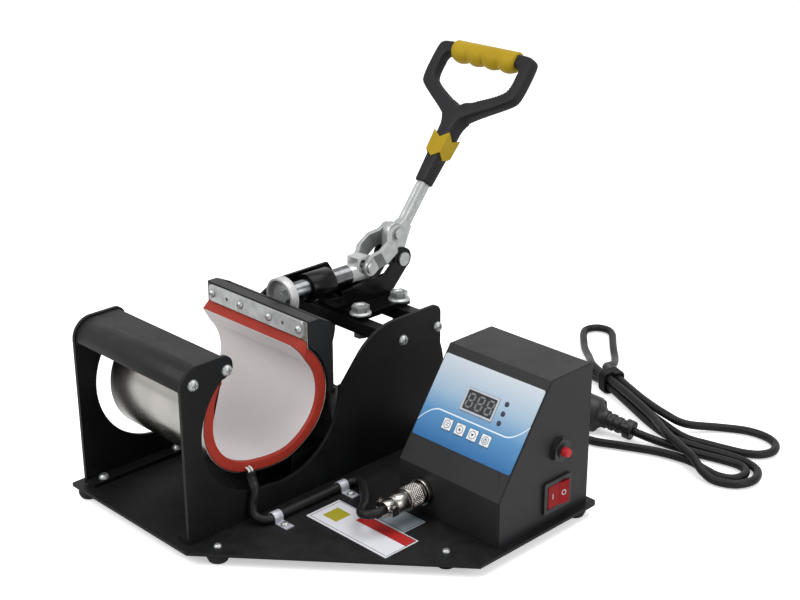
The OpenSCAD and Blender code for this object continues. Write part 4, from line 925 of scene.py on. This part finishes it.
@dataclass
class HeaterWrap:
    """Open wrap round the mug: steel band, thick silicone mat with slanted ends, and cloth facing."""

    band: Layer = Layer("wrap_band", "band_steel", "heater_band", 0.25, 0.0, 4.0)
    mat: Layer = Layer("wrap_mat", "silicone_red", "heater_mat", 0.9, 9.0, 4.8)
    facing: Layer = Layer("wrap_facing", "facing_grey", "heater_facing", 0.12, 12.0, 4.8, 0.6, 3.0)
    front_centre: float = 77.5
    travel: float = 26.9625
    level: float = 80.0
    left: float = 14.05
    right: float = 134.45
    front_drop: float = 3.0
    band_radii: Pair = (46.5, 45.5)
    band_reach: Pair = (51.42, 52.03)
    tab_y: Pair = (133.46, 132.46)
    tab_top: float = 137.0
    mat_radii: Pair = (45.45, 37.45)
    mat_reach: float = 52.4
    mat_end: Pair = (132.21, 122.4)
    lip_reach: float = 40.9
    lip: Pair = (125.71, 116.9)
    lip_way: Pair = (-0.87, -0.49)
    front_reach: float = 8.0
    front_lip: Pair = (131.4, 113.9)
    front_lip_way: Pair = (-0.79, -0.61)
    front_bend: Pair = (141.3, 101.0)
    front_bend_way: Pair = (-0.95, -0.3)
    cloth_depths: Pair = (0.05, 0.45)
    drawn_from: float = 96.0
    drawn_over: float = 40.0
    blend_front: float = 55.0
    blend_back: float = 135.0
    sag: float = 3.4
    sag_from: float = 62.0
    sag_to: float = 132.0
    sag_fade: float = 30.0
    arc_points: int = 64
    run_points: int = 120
    tail_points: int = 18
    floor_points: int = 24
    floor_span: Pair = (0.04, 0.96)
    edge_points: int = 6
    tip_share: float = 0.92
    rounding: tuple = (1.0, 0.6, 0.3, 0.08, 0.0)
    # Painted shade on the band: its dark colour, then the spans from the left end and up from the base over which it
    # fades out.
    dark: Colour = (0.075, 0.075, 0.072)
    painted_shade_left: Pair = (6.0, 19.0)
    painted_shade_low: Pair = (40.0, 60.0)
    cloth: Finish = Finish("facing_grey", (0.56, 0.525, 0.527), (0.505, 0.472, 0.475), 0.5, patch=14.0, grain=1400.0,
                           specular=0.3)
    thread: Colour = (0.42, 0.39, 0.4)
    thread_share: float = 0.08
    threads_across: float = 4200.0
    threads_along: float = 3100.0

    def _half(self, radius: float, tail: Tail, edge: float) -> Array:
        """Rear half of a line of Y and Z: arc from the floor up, then the tail, crowded at its end.

        Args:
            radius: Radius of the arc.
            tail: Free end.
            edge: Length at the end over which the points crowd for a round edge.

        Returns:
            Array of points from the floor to the end.
        """
        a = np.radians(np.linspace(270.0, 360.0 + tail.reach, self.arc_points))
        arc = np.stack([np.cos(a), np.sin(a)], 1) * radius + (self.front_centre + self.travel, self.level)
        bend = np.array(tail.bend) if tail.bend else (arc[-1] + tail.end) / 2
        t = np.linspace(0.0, 1.0, self.run_points)[:, None]
        run = (1 - t) ** 2 * arc[-1] + 2 * t * (1 - t) * bend + t ** 2 * np.array(tail.end)
        along = run_length(run)
        plain = np.linspace(0.0, along[-1] - edge, self.tail_points)[1:-1]
        at = np.r_[plain, along[-1] - edge * np.array(self.rounding)]
        return np.concatenate([arc, resample(run, along, at)])

    def _line(self, radius: float, rear: Tail, front: Tail, edge: float) -> Array:
        """Line of Y and Z from the front end, over the floor that sags in a sine wave, to the rear end.

        Args:
            radius: Radius of both arcs.
            rear: Rear end.
            front: Front end, as mirrored to the rear.
            edge: Length at each end over which the points crowd for a round edge.

        Returns:
            Array of points from the front end to the rear end.
        """
        mirror = 2 * self.front_centre + self.travel
        ahead = (self._half(radius, front, edge) * (-1.0, 1.0) + (mirror, 0.0))[::-1]
        floor = np.linspace(*self.floor_span, self.floor_points) * self.travel + self.front_centre
        floor = np.stack([floor, np.full(self.floor_points, self.level - radius)], 1)
        line = np.concatenate([ahead, floor, self._half(radius, rear, edge)])
        t = np.clip((line[:, 0] - self.sag_from) / (self.sag_to - self.sag_from), 0.0, 1.0)
        under = np.clip((self.level - line[:, 1]) / self.sag_fade, 0.0, 1.0)
        line[:, 1] -= self.sag * np.sin(np.pi * t) ** 2 * under
        return line

    def _layer(self, layer: Layer, lines: tuple[Array, Array]) -> Shape:
        """Rounded rectangle of X and depth, ruled between two lines, rounded at both ends and drawn in at the front.

        Args:
            layer: Radii and sides of the sheet.
            lines: Lines of the outer and the inner face, point for point.

        Returns:
            The closed shape.
        """
        outer, inner = lines
        edge, corner = layer.edge, layer.corner
        left, right = self.left + layer.bare_left, self.right - layer.bare_right
        thick = float(np.median(np.linalg.norm(outer - inner, axis=1)))
        q = np.linspace(0.0, np.pi / 2, self.edge_points)
        c, s = edge * np.cos(q), edge * np.sin(q)
        depth = np.concatenate([edge - c, thick - edge + s, thick - edge + c, edge - s])
        tip = self.tip_share * edge * (1.0 - np.sqrt(1.0 - (1.0 - np.array(self.rounding)) ** 2))
        inset = np.concatenate([tip[::-1], np.zeros(len(outer) - 2 * len(tip)), tip])[:, None]
        share = np.clip((self.drawn_from - outer[:, :1]) / self.drawn_over, 0.0, 1.0)
        start = left + layer.drawn * share ** 2 * (3.0 - 2.0 * share)
        to_end = run_length(inner[::-1])[::-1]
        cut = corner - np.sqrt(np.maximum(corner ** 2 - np.maximum(corner - to_end, 0.0) ** 2, 0.0))
        near = np.concatenate([right - edge + s, right - edge + c])
        near = np.broadcast_to(near, (len(outer), len(near)))
        x = np.concatenate([near, start + np.concatenate([edge - s, edge - c])], 1)
        x = np.clip(x, start + inset, right - np.maximum(inset, cut[:, None]))
        share = (np.clip(depth[None], inset, thick - inset) / thick)[..., None]
        yz = outer[:, None] + share * (inner - outer)[:, None]
        return Shape().bar(on_base(np.concatenate([x[..., None], yz], -1)))

    def _mat_inside(self, depth: float, edge: float) -> Array:
        """Line on the mat's inner face or a little off it.

        Args:
            depth: Distance from the mat's inner face toward the mug.
            edge: Length at each end over which the points crowd.

        Returns:
            Array of points from the front end to the rear end.
        """
        places = (self.lip, self.front_lip, self.front_bend)
        ways = (self.lip_way, self.front_lip_way, self.front_bend_way)
        lip, front_lip, front_bend = (tuple(np.add(p, np.multiply(way, depth))) for p, way in zip(places, ways))
        front = Tail(self.front_reach, front_lip, front_bend)
        return self._line(self.mat_radii[1] - depth, Tail(self.lip_reach, lip), front, edge)

    def build(self, bench: Bench) -> None:
        """Makes the three layers.

        Args:
            bench: Frame and finishes.
        """
        top, low = self.tab_top, self.tab_top - self.front_drop
        band = tuple(self._line(radius, Tail(reach, (y, top)), Tail(reach, (y, low)), self.band.edge)
                     for radius, reach, y in zip(self.band_radii, self.band_reach, self.tab_y))
        rear = Tail(self.mat_reach, self.mat_end)
        front = Tail(self.mat_reach, (self.mat_end[0], self.mat_end[1] - self.front_drop))
        mat = (self._line(self.mat_radii[0], rear, front, self.mat.edge), self._mat_inside(0.0, self.mat.edge))
        cloth = tuple(self._mat_inside(depth, self.facing.edge) for depth in self.cloth_depths)
        own = {"facing_grey": self._weave(bench), "band_steel": self._steel_with_painted_shade(bench)}
        for layer, lines in ((self.band, band), (self.mat, mat), (self.facing, cloth)):
            piece = self._layer(layer, lines).build(layer.piece)
            bench.paint(piece, layer.slot, own.get(layer.slot))
            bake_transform(piece)
            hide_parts(layer.node)

    def _steel_with_painted_shade(self, bench: Bench) -> bpy.types.Material:
        """Band's steel with painted shade: darker toward its left end and its underside, standing in for the dark parts
        that the steel mirrors.

        Args:
            bench: Shared effects.

        Returns:
            The material.
        """
        material, n, shader, colour = replace(FINISHES["band_steel"], name="band_stained").begin(bench.effects)
        place = n.place()
        low, high = (on_base((self.left + x, 0.0, z)) for x, z in zip(self.painted_shade_left, self.painted_shade_low))
        clear = [n.span(n.dot(place, way), float(low[k]), float(high[k]), smooth=True)
                 for k, way in ((0, WAY_X), (2, WAY_Z))]
        # Painted shade: the band's colour goes dark toward its left end and its underside.
        n.tree.links.new(n.mix(n.math("MULTIPLY", *clear), self.dark, colour), shader.inputs["Base Color"])
        return material

    def _weave(self, bench: Bench) -> bpy.types.Material:
        """Glass cloth facing: fine crossed threads under a matt coat.

        Args:
            bench: Shared effects.

        Returns:
            The material.
        """
        material, n, shader, colour = self.cloth.begin(bench.effects)
        place = n.place()
        ways = ((self.threads_across, 0.0, 0.0), (0.0, self.threads_along, self.threads_along))
        threads = n.math("MULTIPLY", *[n.math("SINE", n.dot(place, way)) for way in ways])
        share = n.math("MULTIPLY", n.math("ADD", threads, 1.0), self.thread_share)
        n.tree.links.new(n.mix(share, colour, self.thread), shader.inputs["Base Color"])
        return material


@dataclass
class Grip:
    """Plastic D grip: socket on the bar, ring with toothed inner edges, and the soft sleeve."""

    half_thick: float = 5.6
    neck_gain: float = 2.0
    neck_top: float = 118.0
    neck_over: float = 20.0
    outer: tuple = ((0, 93), (8, 94), (14, 101), (49, 121), (55, 128), (55, 160), (52, 166), (36, 166.6), (0, 166.6))
    inner: tuple = ((0, 109), (6, 114.4), (13, 115), (38, 127.4), (43.8, 134), (43.8, 149), (42, 154.6), (36, 155.4),
                    (0, 155.4))
    corner_turns: int = 3
    ring_points: int = 200
    ring_power: float = 4.5
    ring_sharp: float = 40.0
    tooth_depth: float = 0.7
    tooth_pitch: float = 3.4
    tooth_beyond: float = 20.0
    tooth_below: float = 148.0
    section_points: int = 28
    socket: Pair = (37.0, 99.0)
    socket_rows: int = 60
    socket_power: float = 5.0
    socket_half: float = 6.4
    taper_over: float = 60.0
    wide_gain: float = 2.2
    deep_gain: float = 1.6
    flare: float = 4.0
    flare_from: float = 88.0
    flare_over: float = 11.0
    mouth_from: float = 36.9
    mouth_over: float = 1.6
    mouth_share: float = 0.15
    mouth_least: float = 0.04
    sleeve_half: float = 35.8
    sleeve_radius: float = 8.5
    sleeve_end: float = 2.0
    sleeve_rows: int = 121
    sleeve_sides: int = 40
    sleeve_crowd: float = 0.35
    sleeve_sharp: float = 50.0
    finger_pitch: float = 17.6
    finger_depth: float = 3.0
    finger_power: float = 0.8
    under_power: float = 1.3

    @staticmethod
    def _place(dx: Array, s: Array, n: Array) -> Array:
        """Points in the handle's own frame: across, along the bar and out of its upper face."""
        c, k = math.cos(LEAN), math.sin(LEAN)
        return on_base(np.stack([MIDDLE + dx, BAR_ROOT[0] + s * c - n * k, BAR_ROOT[1] + s * k + n * c], -1))

    def build(self, bench: Bench) -> None:
        """Makes the ring, the socket and the sleeve.

        Args:
            bench: Frame and finishes.
        """
        body = Shape().loop(self._ring()).bar(self._socket())
        sleeve = Shape().bar(self._sleeve())
        bench.seat(body.build("grip_body", self.ring_sharp), "grip_charcoal", "handle", "grip_frame")
        bench.seat(sleeve.build("grip_soft_sleeve", self.sleeve_sharp), "grip_yellow", "handle", "grip_sleeve")

    def _ring(self) -> Array:
        """D ring: a rounded square stretched between its outer and inner outlines, with teeth on the inner edge.

        Returns:
            Grid of points, one row to each section.
        """
        half = [round_corners(side, self.corner_turns) for side in (self.outer, self.inner)]
        run = run_length((half[0] + half[1]) / 2)
        at = np.linspace(0.0, run[-1], self.ring_points)
        out, inn = (resample(side, run, at) for side in half)
        toothed = (out[:, 0] > self.tooth_beyond) & (inn[:, 1] < self.tooth_below)
        way = (inn - out) / np.linalg.norm(inn - out, axis=1, keepdims=True)
        inn = inn + way * (toothed * self.tooth_depth * np.abs(np.sin(np.pi * at / self.tooth_pitch)))[:, None]
        out, inn = (np.concatenate([side, side[-2:0:-1] * (-1.0, 1.0)]) for side in (out, inn))
        core, arm = (out + inn) / 2, (out - inn) / 2
        thick = self.half_thick + self.neck_gain * np.clip((self.neck_top - core[:, 1]) / self.neck_over, 0.0, 1.0)
        section = rounded_square(self.section_points, self.ring_power)
        flat = core[:, None] + arm[:, None] * section[None, :, :1]
        return self._place(flat[..., 0], flat[..., 1], thick[:, None] * section[None, :, 1])

    def _socket(self) -> Array:
        """Tapered square socket, rounded at its mouth and flared where it meets the ring.

        Returns:
            Grid of points, one row to each section.
        """
        s = np.linspace(*self.socket, self.socket_rows)
        taper = (s - self.socket[0]) / self.taper_over
        flare = np.clip((s - self.flare_from) / self.flare_over, 0.0, 1.0) ** 2
        mouth = (1.0 - np.clip((s - self.mouth_from) / self.mouth_over, 0.0, 1.0)) ** 2
        end = np.sqrt(np.clip(1.0 - mouth, self.mouth_least, 1.0)) * self.mouth_share + (1.0 - self.mouth_share)
        section = rounded_square(self.section_points, self.socket_power)
        wide = ((self.socket_half + self.wide_gain * taper) * end + self.flare * flare)[:, None] * section[None, :, 0]
        deep = ((self.socket_half + self.deep_gain * taper) * end)[:, None] * section[None, :, 1]
        return self._place(wide, np.broadcast_to(s[:, None], wide.shape), deep)

    def _sleeve(self) -> Array:
        """Sleeve: a round bar along X whose under side swells under each finger and whose ends close in an arc.

        Returns:
            Grid of points, one row to each section.
        """
        even = np.linspace(-1, 1, self.sleeve_rows)
        x = np.sin(np.linspace(-np.pi / 2, np.pi / 2, self.sleeve_rows)) * self.sleeve_crowd
        x = (x + even * (1.0 - self.sleeve_crowd)) * self.sleeve_half
        a = round_angles(self.sleeve_sides)[None, :]
        swell = np.abs(np.cos(np.pi * (x - self.finger_pitch / 2) / self.finger_pitch)) ** self.finger_power
        under = np.clip(-np.sin(a), 0.0, 1.0) ** self.under_power
        past = np.clip(np.abs(x) - (self.sleeve_half - self.sleeve_end), 0.0, self.sleeve_end) / self.sleeve_end
        close = np.sqrt(np.clip(1.0 - past ** 2, 0.0, 1.0))
        radius = (self.sleeve_radius - self.sleeve_end + self.sleeve_end * close)[:, None]
        radius = radius + self.finger_depth * swell[:, None] * under
        across = np.broadcast_to(x[:, None], radius.shape)
        return self._place(across, GRIP_S + radius * np.sin(a), radius * np.cos(a))


@dataclass
class ControlPanel:
    """Sloped face: printed label, display digits, key marks and switch marks."""

    left: float = 201.2
    front: float = 164.0
    low: float = 36.8
    run: Pair = (54.6, 79.0)
    display: tuple[float, float, float, float] = (36.6, 53.4, 64.9, 68.3)
    display_face: float = 0.6
    digits: int = 3
    digit_wide: float = 5.4
    digit_high: float = 10.6
    digit_bar: float = 1.45
    digit_thick: float = 0.12
    digit_slant: float = 0.1
    digit_upright: float = 7.4
    key_u: tuple = (30.5, 43.3, 56.1, 68.9)
    key_w: float = 37.7
    key_face: float = 1.3
    mark_thick: float = 0.08
    mark_ring: Pair = (2.75, 3.15)
    mark_arrow: tuple = ((-1.3, -0.9), (1.3, -0.9), (0.0, 1.3))
    mark_bar: tuple = ((-1.2, -0.28), (1.2, -0.28), (1.2, 0.28), (-1.2, 0.28))
    mark_apart: float = 0.8
    power_ring: Pair = (1.25, 1.65)
    power_rise: float = 0.6
    power_drop: float = 0.2
    ring_points: int = 40
    rocker: Point = (303.8, 227.5, 21.5)
    rocker_turn: float = -7.0
    rocker_face: float = 2.0
    rocker_hollow: float = 10.6
    rocker_mark: float = 5.6
    rocker_bar: tuple = ((-0.4, -2.2), (0.4, -2.2), (0.4, 2.2), (-0.4, 2.2))
    rocker_ring: Pair = (1.5, 2.2)
    rocker_sink: float = -0.05
    rocker_proud: float = 0.06
    rocker_points: int = 32
    film: Finish = Finish("panel_blue", (0.9, 0.9, 0.9), (0.94, 0.94, 0.94), 0.42, depth=0.000006, specular=0.2)
    film_w: Pair = (21.4, 88.0)
    film_stops: tuple = ((0.0, (0.022, 0.125, 0.32)), (0.34, (0.085, 0.245, 0.455)), (0.62, (0.32, 0.445, 0.565)),
                         (1.0, (0.54, 0.585, 0.635)))
    wave_white: Colour = (0.86, 0.9, 0.93)
    wave_level: float = 45.9
    wave_falls: Pair = (18.7, 0.0446)
    wave_climbs: Pair = (82.0, 0.0375)
    wave_edges: Pair = (0.25, 0.7)
    wave_share: float = 0.85

    def _slope(self) -> Pair:
        """Cosine and sine of the slope."""
        length = math.hypot(*self.run)
        return self.run[0] / length, self.run[1] / length

    def _on(self, u: Array, w: Array, h: Array) -> Array:
        """Points on the slope: its foot line, moved up the slope and out along its normal.

        Args:
            u: Distance across the slope.
            w: Distance up it.
            h: Distance out of it.

        Returns:
            Array of points in metres.
        """
        c, s = self._slope()
        y, z = self.front + w * c - h * s, self.low + w * s + h * c
        return on_base(np.stack(np.broadcast_arrays(self.left + u, y, z), -1))

    def _out(self, high: float) -> Array:
        """Way out of the slope, as long as the given height."""
        return self._on(0.0, 0.0, high) - self._on(0.0, 0.0, 0.0)

    def build(self, bench: Bench) -> None:
        """Prints the label and adds digits and marks.

        Args:
            bench: Frame and finishes.
        """
        bench.paint(bench.frame["nodes"]["panel_label"], "panel_blue", self._label(bench))
        digits, marks = self._digits().build("display_digits"), bench.finishes["bezel_grey"]
        bench.seat(digits, "bezel_grey", "frame", material=bench.finishes["digit_grey"])
        for index, u in enumerate(self.key_u):
            mark = self._key_mark(index, u).build(f"key_mark_{index + 1}")
            bench.seat(mark, "display_dark", f"key_{index + 1}")
        bench.seat(self._rocker_marks().build("rocker_marks"), "sticker_white", "rocker", material=marks)

    def _digits(self) -> Shape:
        """Unlit digits of seven six-sided bars each, leaning a little.

        Returns:
            The shape.
        """
        u0, w0, u1, w1 = self.display
        wide, high, thick = self.digit_wide, self.digit_high, self.digit_bar
        bar = np.array([(-0.5, 0.0), (-0.5, 0.5), (0.5, 0.5), (0.5, 0.0), (0.5, -0.5), (-0.5, -0.5)])
        point = np.array([(0.0, 0), (0.5, 0), (-0.5, 0), (0.0, 0), (-0.5, 0), (0.5, 0)])
        level, upright = wide - thick * 0.5, high / 2 - thick * 0.5
        flat = np.stack([bar[:, 0] * level, bar[:, 1] * thick], 1) + point * thick
        tall = np.stack([bar[:, 1] * thick, bar[:, 0] * upright], 1) + point[:, ::-1] * thick
        places = [(flat, (0, k * high / 2)) for k in (-1, 0, 1)]
        places += [(tall, (i * wide / 2, j * high / 4)) for i in (-1, 1) for j in (-1, 1)]
        shape, normal = Shape(), self._out(self.digit_thick)
        for digit in range(self.digits):
            middle = (u0 + (u1 - u0) / self.digits * (digit + 0.5), (w0 + w1) / 2)
            for outline, move in places:
                u, w = (outline + move + middle).T
                u = u + self.digit_slant * (w - w0 - self.digit_upright)
                shape.prism(self._on(u, w, self.display_face), normal)
        return shape

    def _ring(self, u: float, w: float, radii: Pair) -> Array:
        """Flat ring on a key: a small square spun about the slope's normal.

        Args:
            u: Middle across the slope.
            w: Middle up the slope.
            radii: Inner and outer radius.

        Returns:
            Grid of points, one row to each corner of the square.
        """
        a = round_angles(self.ring_points)[None, :]
        r = np.array([*radii, *radii[::-1]])[:, None]
        h = np.array([0.0, 0.0, self.mark_thick, self.mark_thick])[:, None] + self.key_face
        return self._on(u + r * np.cos(a), w + r * np.sin(a), h)

    def _key_mark(self, index: int, u: float) -> Shape:
        """Round mark on a key, with a small sign in it.

        Args:
            index: Number of the key from the left.
            u: Middle of the key across the slope.

        Returns:
            The shape.
        """
        shape, normal = Shape().loop(self._ring(u, self.key_w, self.mark_ring)), self._out(self.mark_thick)
        up, bar, apart = np.array(self.mark_arrow), np.array(self.mark_bar), (0, self.mark_apart)
        power = bar[:, ::-1] + (0, self.power_rise)
        signs = ((bar + apart, bar - apart), (up,), (up * (1.0, -1.0),), (power,))
        for outline in signs[index]:
            shape.prism(self._on(u + outline[:, 0], self.key_w + outline[:, 1], self.key_face), normal)
        if index == len(signs) - 1:
            shape.loop(self._ring(u, self.key_w - self.power_drop, self.power_ring))
        return shape

    def _on_rocker(self, along: Array, up: Array, out: float) -> Array:
        """Points on the rocker's hollow outer face, from its pivot.

        Args:
            along: Distance along the rocker.
            up: Distance up it.
            out: Distance out of its face.

        Returns:
            Array of points in metres.
        """
        c, s = math.cos(math.radians(self.rocker_turn)), math.sin(math.radians(self.rocker_turn))
        x = self.rocker_face + np.abs(along) / self.rocker_hollow + out
        return on_base(np.stack([x * c - along * s, x * s + along * c, up + 0.0 * x], -1) + self.rocker)

    def _rocker_marks(self) -> Shape:
        """Bar and ring on the two halves of the rocker.

        Returns:
            The shape.
        """
        faces = (self.rocker_sink, self.rocker_proud)
        along, up = (np.array(self.rocker_bar) - (self.rocker_mark, 0.0)).T
        shape = Shape().bar(np.stack([self._on_rocker(along, up, face) for face in faces]))
        a, (inner, outer) = round_angles(self.rocker_points), self.rocker_ring
        corners = ((inner, faces[0]), (outer, faces[0]), (outer, faces[1]), (inner, faces[1]))
        rows = [self._on_rocker(self.rocker_mark + r * np.cos(a), r * np.sin(a), face) for r, face in corners]
        return shape.loop(np.stack(rows))

    def _label(self, bench: Bench) -> bpy.types.Material:
        """Printed film: pale at the top, blue at the bottom, with one white line that sweeps across.

        Args:
            bench: Shared effects.

        Returns:
            The material.
        """
        material, n, shader, tone = self.film.begin(bench.effects)
        c, s = self._slope()
        origin = self._on(0.0, 0.0, 0.0)
        place = n.place()
        w = n.math("SUBTRACT", n.dot(place, (0.0, c / MM, s / MM)), float((origin[1] * c + origin[2] * s) / MM))
        u = n.math("SUBTRACT", n.dot(place, (1 / MM, 0.0, 0.0)), float(origin[0] / MM))
        ramp = n.add("ShaderNodeValToRGB", {0: n.span(w, *self.film_w)})
        for index, (at, shade) in enumerate(self.film_stops):
            stop = ramp.color_ramp.elements[index] if index in (0, 1) else ramp.color_ramp.elements.new(at)
            stop.position, stop.color = at, (*shade, 1.0)
        (left, fall), (right, climb) = self.wave_falls, self.wave_climbs
        falls, climbs = (n.math("POWER", n.math("MAXIMUM", n.math("SUBTRACT", *ends), 0.0), 2.0)
                         for ends in ((left, u), (u, right)))
        line = n.math("SUBTRACT", self.wave_level, n.math("MULTIPLY", falls, fall))
        line = n.math("ADD", line, n.math("MULTIPLY", climbs, climb))
        off = n.math("ABSOLUTE", n.math("SUBTRACT", w, line))
        white = n.span(off, *self.wave_edges, first=self.wave_share, last=0.0)
        printed = n.mix(white, ramp.outputs[0], self.wave_white)
        n.tree.links.new(n.mix(1.0, printed, tone, blend="MULTIPLY"), shader.inputs["Base Color"])
        return material


@dataclass
class Metalwork:
    """CAD nodes that stay: each gets its finish, and its sharp edges a small round."""

    nut_back: float = 160.8
    tongue_front: float = 229.0
    plain_dull: float = 0.5
    round_angle: float = 38.0
    round_steps: int = 2
    weld: float = 1e-6
    own: dict = field(default_factory=lambda: {
        "box_shell": "powder_satin", "box_tray": "powder_satin", "press_block": "powder_satin",
        "cable_clips": "clip_zinc", "clamp_body": "clamp_black", "front_cover": "hood_black",
        # The pressure cup's cup_zinc is a lighter zinc, painted light in the cup's shaded inside.
        "pressure_cup": "cup_zinc", "breaker_button": "button_red",
    })
    rounds: tuple = (
        (0.2, "strip_screws front_strip_screws lamps"),
        (0.25, "guide_studs plate_screws base_screws cable_clips"),
        (0.3, "pivot_pin link_pin collar_band"),
        (0.35, "clamp_bolts box_tray display_bezel breaker_nut"),
        (0.4, "slide_table press_saddle carriage plunger pressure_cup plug_shell plug_clamp socket breaker_button"),
        (0.45, "front_cover"),
        (0.5, "base_plate side_plate_left side_plate_right press_block box_shell switch_housing rocker cord_gland"),
        (0.6, "clamp_body link_arms key_1 key_2 key_3 key_4 mains_plug rubber_feet"),
        (0.7, "handle_bar"),
        (0.8, "cross_bar_front cross_bar_rear"),
    )
    sticker: Finish = Finish("sticker_white", (0.6, 0.605, 0.64), (0.54, 0.545, 0.58), 0.42, depth=0.000004,
                             specular=0.3)
    sticker_shades: dict = field(default_factory=lambda: {
        "white": (0.57, 0.575, 0.61), "dark": (0.02, 0.02, 0.024), "grey": (0.2, 0.24, 0.27),
        "yellow": (0.3, 0.27, 0.016), "red": (0.32, 0.015, 0.013),
    })
    sticker_fields: tuple = (
        ((171.0, 99.0), (254.0, 130.0), "dark"), ((171.5, 99.5), (253.5, 129.5), "white"),
        ((177.0, 106.5), (192.0, 122.0), "yellow"), ((200.5, 118.6), (253.5, 129.5), "red"),
        ((211.0, 131.2), (239.0, 154.2), "grey"), ((212.2, 132.4), (237.8, 153.0), "dark"),
        ((212.7, 132.9), (237.3, 152.5), "grey"),
    )

    def build(self, bench: Bench) -> None:
        """Dresses every CAD node whose slot has a finish, rounds its edges, and gives two nodes their own finish.

        Args:
            bench: Frame and finishes.
        """
        nodes = bench.frame["nodes"]
        widths = {name: width for width, names in self.rounds for name in names.split()}
        for name, node in nodes.items():
            slot = bench.slots[name]
            if slot in bench.finishes:
                bench.paint(node, slot, bench.finishes.get(self.own.get(name, "")))
            if name in widths:
                weld = node.modifiers.new("join", "WELD")
                weld.merge_threshold = self.weld
                bevel = node.modifiers.new("round", "BEVEL")
                bevel.width, bevel.segments = widths[name] * MM, self.round_steps
                bevel.limit_method, bevel.angle_limit = "ANGLE", math.radians(self.round_angle)
                bevel.harden_normals = True
        bench.paint(nodes["base_stickers"], "sticker_white", self._stickers(bench))
        bench.paint(nodes["plunger"], "chrome", self._rod(bench))

    def _rod(self, bench: Bench) -> bpy.types.Material:
        """Chrome that is streaked dark along the rod, with plain zinc on the nut inside the cup and on the tongue.

        Args:
            bench: Shared effects.

        Returns:
            The material.
        """
        material, n, shader, colour = replace(FINISHES["chrome"], name="rod_chrome").begin(bench.effects)
        along = n.dot(n.place(), WAY_Y)
        nut, tongue = (n.math(side, along, float(on_base((0.0, y, 0.0))[1]))
                       for side, y in (("LESS_THAN", self.nut_back), ("GREATER_THAN", self.tongue_front)))
        plain = n.math("MAXIMUM", nut, tongue)
        metal = n.math("SUBTRACT", 1.0, n.math("MULTIPLY", plain, self.plain_dull))
        n.tree.links.new(n.mix(plain, colour, FINISHES["zinc"].colour), shader.inputs["Base Color"])
        n.tree.links.new(metal, shader.inputs["Metallic"])
        return material

    def _stickers(self, bench: Bench) -> bpy.types.Material:
        """Blank plates: white with a thin dark frame line, two plain colour fields and one grey plate.

        Args:
            bench: Shared effects.

        Returns:
            The material.
        """
        material, n, shader, colour = self.sticker.begin(bench.effects)
        place = n.place()
        for corner, opposite, shade in self.sticker_fields:
            low, high = on_base((*corner, 0.0)), on_base((*opposite, 0.0))
            parts = []
            for axis, way in enumerate((WAY_X, WAY_Y)):
                along = n.dot(place, way)
                parts += [n.math("MULTIPLY", n.math("GREATER_THAN", along, float(low[axis])),
                                 n.math("LESS_THAN", along, float(high[axis])))]
            colour = n.mix(n.math("MULTIPLY", *parts), colour, self.sticker_shades[shade])
        n.tree.links.new(colour, shader.inputs["Base Color"])
        return material


def main() -> None:
    logging.basicConfig(level=logging.INFO, format="%(name)s: %(message)s")
    bench = Bench()
    Viewpoint().build()
    MainsCord().build(bench)
    Studio().build()
    Metalwork().build(bench)
    for part in (HeaterCable(), Connector(), HeaterWrap(), Grip(), ControlPanel()):
        part.build(bench)


if __name__ == "__main__":
    main()
